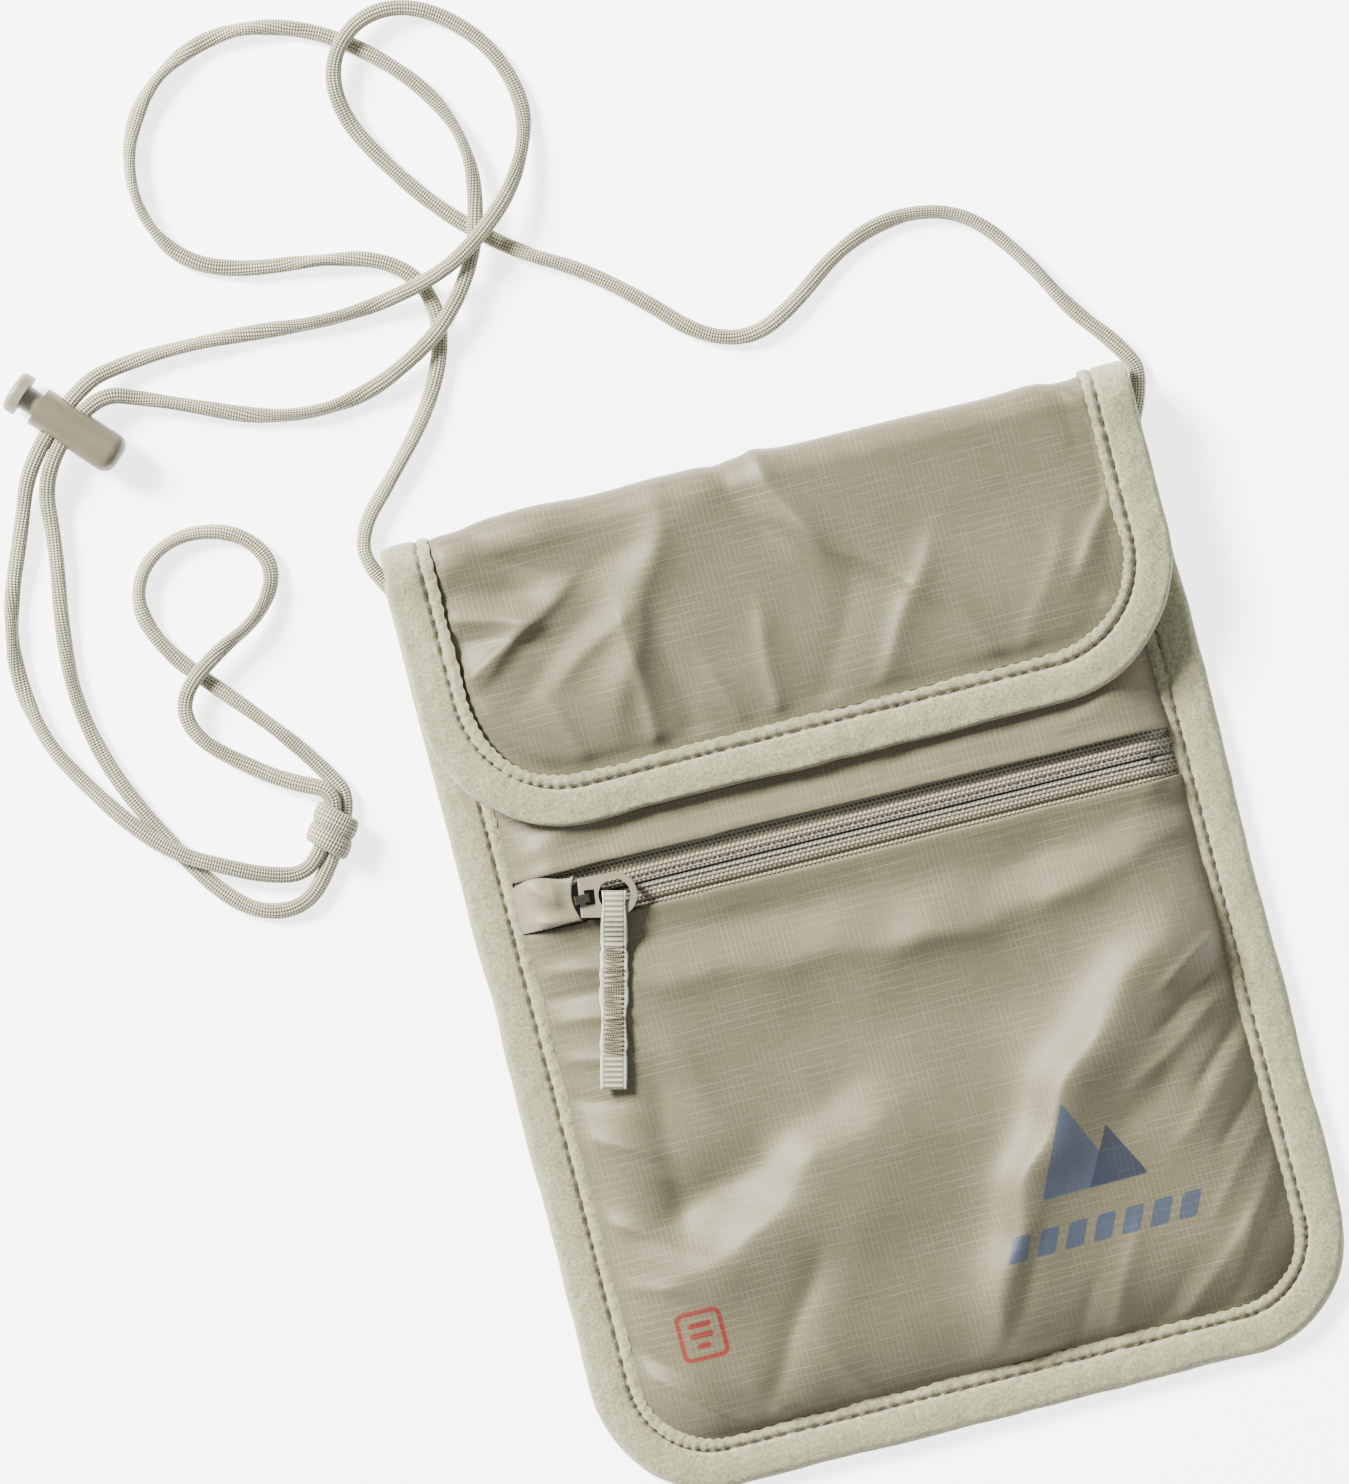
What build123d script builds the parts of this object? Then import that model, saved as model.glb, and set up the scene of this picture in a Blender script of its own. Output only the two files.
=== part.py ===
"""Neck pouch wallet with a bound fold-over flap, a zip pocket and a neck cord with a push-button lock.

The pouch lies on its back: +Z comes out of its front, +Y points at the fold, +X at the wearer's left.
The origin is under the middle of the pouch, on the surface that it lies on. Millimetres.
"""

import os
from math import radians, tan

from build123d import *

os.makedirs("parts", exist_ok=True)

# Pouch outline
half_width = 70.0
half_height = 90.0
body_corner = 22.0
binding_bottom = 9.5
foot_half_width = 61.0
foot_bottom = -half_height + binding_bottom
foot_corner = 13.0
plateau_half_width = 56.5
plateau_bottom = -75.5
plateau_corner = 10.0
mouth_y = 82.0
spine = 1.0

# Layer heights in the flat of the pouch
binding_leg = 0.6
back_bottom = 0.6
back_top = 1.2
liner_top = 1.5
divider_wall = 0.4
divider_plateau = 6.3
front_wall = 0.5
front_foot = liner_top + divider_wall
front_plateau = 8.3
hem = 0.4
body_binding_top = 3.0

# Rolled fold at the top edge, halved by the hinge line
fold_y = 84.4
fold_z = 5.6
shell_radii = (4.5, 5.0)
lining_radii = (4.1, 4.5)
channel_radii = (4.1, 5.0)
binding_radii = (3.5, 5.6)
hinge_gap = 0.2

# Flap
flap_half_width = 69.5
flap_bottom = 33.0
flap_corner = 26.0
flap_inner_half = 61.0
flap_inner_bottom = 43.0
flap_inner_corner = 18.0
hook_bottom = 9.1
lining_bottom = 9.7
shell_bottom = 10.1
shell_top = 10.6
flap_top = 11.2
thread = 0.2

# Zip
zip_y = 20.0
zip_low = 15.5
zip_high = 25.5
zip_gap = 1.0
coil_width = 1.4
coil_height = 0.6
slider_x = -50.3
slider_length = 8.5
pull_x = -49.3
pull_z = 9.9
pull_turn = -8.0

# Cord, lock and knot
cord_diameter = 2.8
cord_floor = 1.45
over_one = 4.45
over_two = 7.45
lock_centre_z = 4.0
lock_along = Vector(0.676, -0.737, 0).normalized()
lock_across = Vector(0.737, 0.676, 0).normalized()
lock_open_end = Vector(-122.55, 130.5, lock_centre_z)


def u_outline(half, bottom, top, corner):
    """Face with a straight top edge and two round corners at the bottom."""
    with BuildLine() as edge:
        Line((half, bottom + corner), (half, top))
        Line((half, top), (-half, top))
        Line((-half, top), (-half, bottom + corner))
        CenterArc((-half + corner, bottom + corner), corner, 180, 90)
        Line((-half + corner, bottom), (half - corner, bottom))
        CenterArc((half - corner, bottom + corner), corner, 270, 90)
    make_face(edge.line.edges())


def u_slab(low, high, half, bottom, top, corner, mode=Mode.ADD):
    """Flat layer of the pouch between two heights."""
    with BuildSketch(Plane.XY.offset(low)) as layer:
        u_outline(half, bottom, top, corner)
    extrude(layer.sketch, amount=high - low, mode=mode)


def tray(foot, wall, plateau, low_y, high_y):
    """Raised pocket layer: a flange held by the binding, steep sides and a flat middle, cut to a range of Y."""
    u_slab(foot, foot + wall, half_width - spine, spine - half_height, mouth_y, body_corner - spine)
    for drop, extra, mode in ((0, 0, Mode.ADD), (wall, 1, Mode.SUBTRACT)):
        with BuildSketch(Plane.XY.offset(foot + wall - drop)) as base:
            u_outline(foot_half_width, foot_bottom, mouth_y + extra, foot_corner)
        with BuildSketch(Plane.XY.offset(plateau - drop)) as flat:
            u_outline(plateau_half_width, plateau_bottom, mouth_y + extra, plateau_corner)
        loft([base.sketch.face(), flat.sketch.face()], ruled=True, mode=mode)
    with Locations((0, (low_y + high_y) / 2, 5)):
        Box(2 * half_width + 10, high_y - low_y, 30, mode=Mode.INTERSECT)


def fold_arc(inner, outer, half, upper, mode=Mode.ADD):
    """Half of a rolled layer at the fold, above or below the hinge line."""
    start = fold_z + hinge_gap if upper else fold_z - hinge_gap
    side = Align.MIN if upper else Align.MAX
    with BuildSketch(Plane.YZ) as ring:
        with Locations((fold_y, fold_z)):
            Circle(outer)
            Circle(inner, mode=Mode.SUBTRACT)
        with Locations((fold_y, start)):
            Rectangle(outer + 1, outer + 1, align=(Align.MIN, side), mode=Mode.INTERSECT)
    extrude(ring.sketch, amount=half, both=True, mode=mode)


def open_middle_of_fold(half):
    """Takes the binding away between its two sides at the fold."""
    with Locations((0, fold_y + 6, fold_z)):
        Box(2 * half, 12, 24, mode=Mode.SUBTRACT)


# Back of the pouch
with BuildPart() as back_panel:
    u_slab(back_bottom, back_top, half_width - spine, spine - half_height, fold_y, body_corner - spine)
    u_slab(0, back_bottom, foot_half_width - 0.5, foot_bottom + 0.5, fold_y, foot_corner - 0.5)

with BuildPart() as back_liner:
    u_slab(back_top, liner_top, half_width - spine, spine - half_height, fold_y, body_corner - spine)

with BuildPart() as flap_yoke:
    fold_arc(channel_radii[0], channel_radii[1], half_width - spine, False)

# Pocket layers
with BuildPart() as pocket_divider:
    tray(liner_top, divider_wall, divider_plateau, -100, mouth_y)

with BuildPart() as front_lower_panel:
    tray(front_foot, front_wall, front_plateau, -100, zip_low)
    with Locations((0, zip_low - 1.25, front_plateau + hem / 2)):
        Box(2 * plateau_half_width, 2.5, hem)

with BuildPart() as front_upper_panel:
    tray(front_foot, front_wall, front_plateau, zip_high, mouth_y)
    with Locations((0, zip_high + 1.25, front_plateau + hem / 2)):
        Box(2 * plateau_half_width, 2.5, hem)

with BuildPart() as zip_tape_lower:
    tray(front_foot, front_wall, front_plateau, zip_low, zip_y - zip_gap / 2)

with BuildPart() as zip_tape_upper:
    tray(front_foot, front_wall, front_plateau, zip_y + zip_gap / 2, zip_high)

coil_top = front_plateau - front_wall
coil_offset = zip_gap / 2 + coil_width / 2
with BuildPart() as zip_coil_lower:
    with Locations((0, zip_y - coil_offset, coil_top - coil_height / 2)):
        Box(2 * plateau_half_width - 1, coil_width, coil_height)
    fillet(zip_coil_lower.edges().filter_by(Axis.X).group_by(Axis.Z)[0], 0.25)

with BuildPart() as zip_coil_upper:
    with Locations((0, zip_y + coil_offset, coil_top - coil_height / 2)):
        Box(2 * plateau_half_width - 1, coil_width, coil_height)
    fillet(zip_coil_upper.edges().filter_by(Axis.X).group_by(Axis.Z)[0], 0.25)

with BuildPart() as zip_stops:
    with Locations((-54.9, zip_y, front_plateau + 0.3), (56.25, zip_y, front_plateau + 0.3)):
        Box(0.4, 2.8, 0.6)

# Cloth tab that covers the closed end of the zip
tab_outline = [
    (-51.2, 9.5),
    (-51.2, 9.9),
    (-56.9, 9.9),
    (-foot_half_width, 4.4),
    (-foot_half_width, front_foot + front_wall),
    (-plateau_half_width, front_plateau),
    (-plateau_half_width + 0.1, front_plateau),
    (-plateau_half_width + 0.1, 9.5),
]
with BuildPart() as zip_garage_tab:
    with BuildSketch(Plane.XZ.offset(-25.3)):
        with BuildLine():
            Polyline(*tab_outline, close=True)
        make_face()
    extrude(amount=8.8)

# Hook and loop closure
with BuildPart() as loop_patch:
    with Locations((0, 55, front_plateau + 0.25)):
        Box(60, 14, 0.5)
    fillet(loop_patch.edges().filter_by(Axis.Z), 2)

with BuildPart() as hook_patch:
    with Locations((0, 55, (hook_bottom + lining_bottom) / 2)):
        Box(60, 14, lining_bottom - hook_bottom)
    fillet(hook_patch.edges().filter_by(Axis.Z), 2)

# Folded binding round the body, open towards the middle
with BuildPart() as body_binding:
    u_slab(0, body_binding_top, half_width, -half_height, fold_y, body_corner)
    channel_top = body_binding_top - binding_leg
    u_slab(
        binding_leg,
        channel_top,
        half_width - spine,
        spine - half_height,
        fold_y + 1,
        body_corner - spine,
        mode=Mode.SUBTRACT,
    )
    u_slab(-1, 4, foot_half_width, foot_bottom, fold_y + 1, foot_corner, mode=Mode.SUBTRACT)
    fold_arc(binding_radii[0], binding_radii[1], half_width, False)
    fold_arc(channel_radii[0], channel_radii[1], half_width - spine, False, mode=Mode.SUBTRACT)
    open_middle_of_fold(foot_half_width)

with BuildPart() as body_stitching:
    u_slab(body_binding_top, body_binding_top + thread, 63.3, foot_bottom - 2.3, mouth_y, 15.3)
    u_slab(0, 5, 62.8, foot_bottom - 1.8, mouth_y + 1, 14.8, mode=Mode.SUBTRACT)

# Flap
with BuildPart() as flap_shell:
    u_slab(
        shell_bottom, shell_top, flap_half_width - spine, flap_bottom + spine, fold_y, flap_corner - spine
    )
    fold_arc(shell_radii[0], shell_radii[1], flap_half_width - spine, True)

with BuildPart() as flap_lining:
    u_slab(
        lining_bottom,
        shell_bottom,
        flap_half_width - spine,
        flap_bottom + spine,
        fold_y,
        flap_corner - spine,
    )
    fold_arc(lining_radii[0], lining_radii[1], flap_half_width - spine, True)

with BuildPart() as flap_binding:
    u_slab(hook_bottom, flap_top, flap_half_width, flap_bottom, fold_y, flap_corner)
    u_slab(
        lining_bottom,
        shell_top,
        flap_half_width - spine,
        flap_bottom + spine,
        fold_y + 1,
        flap_corner - spine,
        mode=Mode.SUBTRACT,
    )
    u_slab(
        hook_bottom - 1,
        flap_top + 1,
        flap_inner_half,
        flap_inner_bottom,
        fold_y + 1,
        flap_inner_corner,
        mode=Mode.SUBTRACT,
    )
    fold_arc(binding_radii[0], binding_radii[1], flap_half_width, True)
    fold_arc(channel_radii[0], channel_radii[1], flap_half_width - spine, True, mode=Mode.SUBTRACT)
    open_middle_of_fold(flap_inner_half)

with BuildPart() as flap_stitching:
    u_slab(flap_top, flap_top + thread, 63.5, flap_inner_bottom - 2.5, fold_y, 20.5)
    u_slab(flap_top - 1, flap_top + 1, 63.0, flap_inner_bottom - 2.0, fold_y + 1, 20.0, mode=Mode.SUBTRACT)

# Zip slider with the arch that holds the pull
with BuildPart() as slider_body:
    with BuildSketch(Plane.XY.offset(front_plateau + 0.1)):
        with Locations((slider_x, zip_y)):
            RectangleRounded(slider_length, 6.0, 1.5)
    extrude(amount=0.6)
    with BuildSketch(Plane.XY.offset(6.55)):
        with Locations((slider_x, zip_y)):
            RectangleRounded(slider_length, 6.6, 1.5)
    extrude(amount=0.55)
    with Locations((slider_x, zip_y - 2.95, 7.3), (slider_x, zip_y + 2.95, 7.3)):
        Box(5.0, 0.7, 0.6)
    with Locations((slider_x - 0.4, zip_y, 7.75)):
        Box(3.0, 0.6, 1.5)
    with BuildSketch(Plane.XZ.offset(-(zip_y + 0.8))):
        with Locations((pull_x, 10.075)):
            Rectangle(2.9, 2.15)
        with Locations((pull_x, 9.8)):
            Rectangle(1.7, 1.9, mode=Mode.SUBTRACT)
    extrude(amount=1.6)
    arch_ends = slider_body.edges().filter_by(Axis.Y).group_by(Axis.Z)[-1]
    fillet(arch_ends, 0.35)

# Pull: a flat tab with an eye for the arch at one end and a ring at the other
pull_plane = Plane(origin=(pull_x, zip_y + 0.2, pull_z - 0.5), z_dir=(0, 0, 1)).rotated((0, 0, pull_turn))
with BuildPart() as pull_tab:
    with BuildSketch(pull_plane):
        with BuildLine():
            Polyline((-0.5, -3.5), (4.2, -3.95), (4.2, 3.95), (-0.5, 3.5), close=True)
        make_face()
        with Locations((5.9, 0)):
            Circle(4.1)
            Circle(2.9, mode=Mode.SUBTRACT)
        with Locations((1.425, 0)):
            Rectangle(1.85, 2.7, mode=Mode.SUBTRACT)
    extrude(amount=1.0)
    bar_edges = pull_tab.edges().filter_by(lambda e: abs(e.length - 7.0) < 0.05)
    fillet(bar_edges, 0.4)

# Folded ribbon through the ring
ribbon_top = Vector(-43.3, 20.2, 0)
ribbon_dir = Vector(-0.249, -0.968, 0).normalized()
ribbon_side = Vector(0, 0, 1).cross(ribbon_dir)
ribbon_plane = Plane(origin=ribbon_top - ribbon_side * 2.4, x_dir=ribbon_dir, z_dir=ribbon_side)
ribbon_up = ribbon_plane.y_dir.Z
ribbon_outline = [(0.0, 9.05), (36.0, 9.05), (36.0, 9.8), (9.5, 9.8), (7.0, 10.95), (0.0, 10.95)]
ribbon_eye = [(1.0, 9.3), (6.0, 9.3), (6.0, 10.5), (1.0, 10.5)]
with BuildPart() as pull_ribbon:
    with BuildSketch(ribbon_plane):
        with BuildLine():
            Polyline(*[(u, ribbon_up * z) for u, z in ribbon_outline], close=True)
        make_face()
        with BuildLine():
            Polyline(*[(u, ribbon_up * z) for u, z in ribbon_eye], close=True)
        make_face(mode=Mode.SUBTRACT)
    extrude(amount=4.8)

with BuildPart() as ribbon_bartack:
    with BuildSketch(Plane(origin=(0, 0, 9.8), x_dir=ribbon_dir, z_dir=(0, 0, 1))):
        centre = Plane(origin=(0, 0, 0), x_dir=ribbon_dir, z_dir=(0, 0, 1)).to_local_coords(ribbon_top)
        with Locations((centre.X + 20, centre.Y)):
            Rectangle(20, 3.2)
    extrude(amount=0.15)

# Cord lock: barrel with a cross slot, plunger with a longer slot, return spring
lock_plane = Plane(origin=lock_open_end, x_dir=(0, 0, 1), z_dir=lock_along)
slot_low = 2.5
slot_high = 8.5
cord_in_lock = (4.05, 6.95)


def slot_plane(distance):
    """Plane across the barrel, a distance along it from the open end."""
    return Plane(origin=lock_open_end + lock_along * distance, x_dir=lock_along, z_dir=lock_across)


with BuildPart() as lock_barrel:
    with BuildSketch(lock_plane):
        Circle(3.7)
    extrude(amount=17.4)
    fillet(lock_barrel.edges().sort_by(Axis(lock_open_end, lock_along))[-1], 2.2)
    with BuildSketch(lock_plane):
        Circle(2.35)
    extrude(amount=14.7, mode=Mode.SUBTRACT)
    with BuildSketch(slot_plane((slot_low + slot_high) / 2)):
        RectangleRounded(slot_high - slot_low, 3.2, 1.2)
    extrude(amount=6, both=True, mode=Mode.SUBTRACT)

with BuildPart() as lock_plunger:
    with BuildSketch(lock_plane.offset(-5.7)):
        Circle(3.9)
    extrude(amount=2.5)
    fillet(lock_plunger.edges().sort_by(Axis(lock_open_end, lock_along))[0], 1.1)
    with BuildSketch(lock_plane.offset(-3.2)):
        Circle(2.25)
    extrude(amount=13.4)
    with BuildSketch(slot_plane(4.25)):
        RectangleRounded(8.9, 3.2, 1.2)
    extrude(amount=3, both=True, mode=Mode.SUBTRACT)

with BuildPart() as lock_spring:
    with BuildLine() as coil:
        Helix(1.0, 3.9, 1.6, center=lock_open_end + lock_along * 10.55, direction=lock_along)
    coil_wire = coil.wires()[0]
    with BuildSketch(Plane(origin=coil_wire @ 0, z_dir=coil_wire % 0)):
        Circle(0.2)
    sweep(path=coil_wire, is_frenet=True)

# Doubled overhand knot, two wraps wide
knot_along = Vector(0.55, 0.83, 0).normalized()
knot_centre = Vector(-90.1, 43.1, 3.0)
with BuildPart() as cord_knot:
    for start in (-3.7, 0.1):
        with BuildSketch(Plane(origin=knot_centre + knot_along * start, x_dir=(0, 0, 1), z_dir=knot_along)):
            RectangleRounded(5.9, 8.4, 2.6)
        extrude(amount=3.6)
        ends = cord_knot.faces().filter_by(GeomType.PLANE)
        ends = ends.filter_by(lambda f: abs(f.normal_at().dot(knot_along)) > 0.99)
        ends = ends.sort_by(Axis(knot_centre, knot_along))[-2:]
        fillet(ends.edges(), 0.9)
    with BuildSketch(Plane(origin=knot_centre - knot_along, x_dir=(0, 0, 1), z_dir=knot_along)):
        RectangleRounded(4.6, 7.0, 2.0)
    extrude(amount=2.0)

# Neck cord, one piece: left seam, lock, knot, end loop, knot, lock, right seam.
# Each point is x, y, z and, where the bend is tighter than its runs would give, a radius.


def in_lock(strand, across):
    """Point on a strand's straight way through the lock."""
    spot = lock_open_end + lock_along * cord_in_lock[strand] + lock_across * across
    return (spot.X, spot.Y, spot.Z)


low = cord_floor
left_strand = [
    (-68.2, 81.6, low),
    (-72.9, 88.2, low),
    (-70.9, 95.6, low),
    (-64.6, 101.6, low),
    (-54.0, 113.4, low),
    (-48.6, 125.0, low),
    (-49.2, 134.6, low),
    (-55.6, 141.2, low),
    (-66.5, 143.8, low),
    (-82.5, 145.6, low),
    (-92.4, 150.8, low),
    (-97.0, 161.5, low),
    (-95.6, 173.2, low),
    (-88.2, 183.2, low),
    (-76.0, 188.4, low),
    (-63.8, 187.0, low),
    (-53.2, 181.7, low),
    (-43.2, 172.4, low),
    (-37.8, 163.6, low),
    (-35.9, 155.0, 2.9),
    (-36.8, 147.0, over_one),
    (-39.9, 136.8, over_one),
    (-47.3, 127.2, over_one),
    (-55.5, 121.9, 4.2),
    (-65.0, 118.0, 2.0),
    (-75.5, 117.1, low),
    (-85.5, 119.3, low),
    (-94.3, 123.2, low),
    (-103.2, 127.0, 2.4),
    (*in_lock(1, 7.5), 6.2),
]
inner_strand = [
    (*in_lock(1, -10.0), 5.6),
    (-126.0, 105.0, 1.8),
    (-128.8, 90.0, low),
    (-129.5, 77.0, low),
    (-126.6, 63.5, low),
    (-120.6, 50.5, low),
    (-113.6, 38.5, low),
    (-107.2, 32.2, low),
    (-99.8, 30.7, 1.6),
    (-94.3, 34.0, 1.8),
]
end_loop = [
    (-85.5, 47.5, 1.8),
    (-88.7, 53.8, low),
    (-94.6, 62.4, low),
    (-103.6, 72.8, low),
    (-111.0, 81.2, low),
    (-114.8, 90.6, low),
    (-111.4, 98.7, low),
    (-102.6, 102.2, low),
    (-92.6, 99.4, low),
    (-88.2, 91.6, 2.0),
    (-93.4, 83.6, 3.2),
    (-102.8, 79.4, over_one),
    (-111.0, 73.0, over_one),
    (-110.2, 65.4, 2.4),
    (-102.6, 58.6, low),
    (-95.8, 53.6, 2.6),
    (-86.9, 49.6, 4.2),
]
outer_strand = [
    (-96.5, 36.3, 2.6),
    (-102.8, 37.6, 2.4),
    (-110.0, 41.2, over_one),
    (-118.9, 46.1, over_one),
    (-126.0, 54.0, over_one),
    (-132.0, 63.0, 1.9),
    (-136.6, 71.5, low),
    (-138.9, 84.5, low),
    (-136.6, 97.5, low),
    (-131.4, 109.5, 2.2),
    (*in_lock(0, -10.0), 9.0),
]
right_strand = [
    (*in_lock(0, 7.5), 11.5),
    (-106.0, 134.3, 2.6),
    (-96.5, 134.8, low),
    (-83.0, 134.2, low),
    (-70.5, 132.8, low),
    (-60.5, 133.1, 2.2),
    (-51.2, 134.6, over_one + 0.3),
    (-43.2, 137.0, over_two),
    (-34.2, 143.3, over_two),
    (-28.0, 150.4, 4.2),
    (-23.9, 160.5, low),
    (-26.2, 171.4, low),
    (-32.6, 179.9, low),
    (-41.0, 185.0, 2.6),
    (-49.6, 184.4, over_one),
    (-56.1, 178.2, over_one),
    (-56.9, 169.0, 2.4),
    (-51.8, 158.6, low),
    (-43.4, 146.8, low),
    (-32.0, 136.4, low),
    (-21.8, 130.8, low),
    (-12.2, 122.6, low),
    (-4.0, 113.9, low),
    (5.0, 110.6, low),
    (13.6, 114.2, low),
    (25.0, 122.9, low),
    (37.0, 126.2, low),
    (48.6, 123.4, low),
    (56.9, 112.6, low),
    (62.4, 101.8, low),
    (69.4, 93.4, low),
    (72.7, 86.3, low),
    (68.2, 78.6, low),
]
route = left_strand + inner_strand + end_loop + outer_strand + right_strand
corners = [Vector(*point[:3]) for point in route]
radii = []
for before, point, after in zip(corners, route[1:-1], corners[2:]):
    here = Vector(*point[:3])
    shorter = min((here - before).length, (after - here).length)
    half_turn = (here - before).get_angle(after - here) / 2
    widest = 0.45 * shorter / tan(radians(half_turn))
    radii.append(min(widest, point[3]) if len(point) > 3 else widest)

with BuildPart() as neck_cord:
    with BuildLine() as cord_path:
        FilletPolyline(*corners, radius=radii)
    cord_wire = cord_path.wires()[0]
    cord_length = cord_wire.length
    with BuildSketch(Plane(origin=cord_wire @ 0, z_dir=cord_wire % 0)):
        Circle(cord_diameter / 2)
    sweep(path=cord_wire)
    tube_volume = neck_cord.part.volume
    with Locations((0, 60, 2)):
        Box(2 * (half_width - 0.6), 60, 8, mode=Mode.SUBTRACT)

print(f"cord length {cord_length:.1f} mm")
print("cord bend radii", [round(r, 1) for r in radii])
runs = [(after - before).length for before, after in zip(corners, corners[1:])]
print(f"tightest bend {min(radii):.2f}, longest run {max(runs):.1f}")
expected = 3.14159265 * (cord_diameter / 2) ** 2 * cord_length
print(f"cord volume {tube_volume:.1f}, section times length {expected:.1f}")

pieces = {
    "back_panel": back_panel,
    "back_liner": back_liner,
    "flap_yoke": flap_yoke,
    "pocket_divider": pocket_divider,
    "front_lower_panel": front_lower_panel,
    "front_upper_panel": front_upper_panel,
    "zip_tape_lower": zip_tape_lower,
    "zip_tape_upper": zip_tape_upper,
    "zip_coil_lower": zip_coil_lower,
    "zip_coil_upper": zip_coil_upper,
    "zip_stops": zip_stops,
    "zip_garage_tab": zip_garage_tab,
    "loop_patch": loop_patch,
    "body_binding": body_binding,
    "body_stitching": body_stitching,
    "flap_shell": flap_shell,
    "flap_lining": flap_lining,
    "flap_binding": flap_binding,
    "flap_stitching": flap_stitching,
    "hook_patch": hook_patch,
    "slider_body": slider_body,
    "pull_tab": pull_tab,
    "pull_ribbon": pull_ribbon,
    "ribbon_bartack": ribbon_bartack,
    "lock_barrel": lock_barrel,
    "lock_plunger": lock_plunger,
    "lock_spring": lock_spring,
    "cord_knot": cord_knot,
    "neck_cord": neck_cord,
}
for name, piece in pieces.items():
    piece.part.label = name
    export_step(piece.part, f"parts/{name}.step")
    box = piece.part.bounding_box()
    solids = len(piece.part.solids())
    heights = f"z {box.min.Z:.2f} to {box.max.Z:.2f}"
    print(f"{name}: {solids} solid(s), volume {piece.part.volume:.1f}, valid {piece.part.is_valid}, {heights}")
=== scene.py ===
"""Looks for the neck wallet: cloth, tapes, stitching, zip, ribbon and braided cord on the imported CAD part.

The frame is the part's own, in metres. Shapes are laid out in millimetres and turned to metres by MM.
"""

import math

import bpy
import numpy as np
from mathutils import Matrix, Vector


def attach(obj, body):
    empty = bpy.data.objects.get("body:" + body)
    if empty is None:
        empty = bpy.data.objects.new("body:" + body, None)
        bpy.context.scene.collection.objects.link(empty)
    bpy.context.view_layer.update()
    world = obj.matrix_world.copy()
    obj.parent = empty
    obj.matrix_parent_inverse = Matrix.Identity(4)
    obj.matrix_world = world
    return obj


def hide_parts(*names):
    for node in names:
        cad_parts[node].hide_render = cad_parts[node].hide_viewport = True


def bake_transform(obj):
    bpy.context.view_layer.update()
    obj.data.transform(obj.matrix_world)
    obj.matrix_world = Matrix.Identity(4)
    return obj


MM = 0.001

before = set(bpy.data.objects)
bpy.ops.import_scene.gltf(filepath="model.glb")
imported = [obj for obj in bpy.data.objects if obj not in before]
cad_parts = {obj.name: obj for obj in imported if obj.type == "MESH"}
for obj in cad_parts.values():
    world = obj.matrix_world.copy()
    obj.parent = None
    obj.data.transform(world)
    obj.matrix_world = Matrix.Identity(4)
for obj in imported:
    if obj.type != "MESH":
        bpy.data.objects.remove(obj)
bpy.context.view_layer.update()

# ---------------------------------------------------------------- camera and light

# The film curve as a power law, how much it greys colours, and the light on the front of the pouch
FILM_WHITE = 197.0
FILM_POWER = 3.3
RICHNESS = 1.3
LIGHT_LEVEL = 5.2

# The view: what is at its middle and how tall it is, in millimetres
VIEW_CENTRE = (-26.2, 43.3)
VIEW_HEIGHT = 267.9
ROLL = math.radians(-14.3)
LENS = 200.0
SENSOR = 36.0

scene = bpy.context.scene
camera_data = bpy.data.cameras.new("camera")
camera_data.sensor_fit = "VERTICAL"
camera_data.sensor_height = SENSOR
camera_data.lens = LENS
camera_data.clip_end = 20
camera = bpy.data.objects.new("camera", camera_data)
distance = VIEW_HEIGHT * MM * LENS / SENSOR
camera.location = (VIEW_CENTRE[0] * MM, VIEW_CENTRE[1] * MM, distance + 0.006)
camera.rotation_euler = (0, 0, ROLL)
scene.collection.objects.link(camera)
scene.camera = camera


def area_light(name, place, aim, size, power, tint):
    """Square soft light at a place in metres, turned to look at a point."""
    data = bpy.data.lights.new(name, "AREA")
    data.shape = "SQUARE"
    data.size = size
    data.energy = power
    data.color = tint
    light = bpy.data.objects.new(name, data)
    light.location = place
    light.rotation_euler = (Vector(aim) - Vector(place)).to_track_quat("-Z", "Y").to_euler()
    scene.collection.objects.link(light)


area_light("key", (-1.6, 1.75, 1.45), (0, 0.03, 0), 0.75, 560.0, (1.0, 0.985, 0.95))
area_light("fill", (1.9, -1.2, 2.2), (0, 0, 0), 1.6, 22.0, (0.95, 0.97, 1.0))

world = bpy.data.worlds.new("studio")
world.use_nodes = True
world.node_tree.nodes["Background"].inputs["Color"].default_value = (0.95, 0.97, 1.0, 1)
world.node_tree.nodes["Background"].inputs["Strength"].default_value = 0.62
scene.world = world


# ---------------------------------------------------------------- small helpers


def smooth(t):
    """Smooth step from 0 to 1."""
    t = np.clip(t, 0, 1)
    return t * t * (3 - 2 * t)


def noise_1d(x, seed, period):
    """Smooth random curve from -1 to 1 along x."""
    values = np.random.default_rng(seed).uniform(-1, 1, 512)
    i = np.floor(x / period).astype(int)
    f = smooth(x / period - i)
    return values[i % 512] * (1 - f) + values[(i + 1) % 512] * f


def noise_2d(x, y, seed, period):
    """Smooth random field from -1 to 1."""
    values = np.random.default_rng(seed).uniform(-1, 1, (128, 128))
    i = np.floor(x / period).astype(int)
    j = np.floor(y / period).astype(int)
    f = smooth(x / period - i)
    g = smooth(y / period - j)
    low = values[i % 128, j % 128] * (1 - f) + values[(i + 1) % 128, j % 128] * f
    high = values[i % 128, (j + 1) % 128] * (1 - f) + values[(i + 1) % 128, (j + 1) % 128] * f
    return low * (1 - g) + high * g


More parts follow.
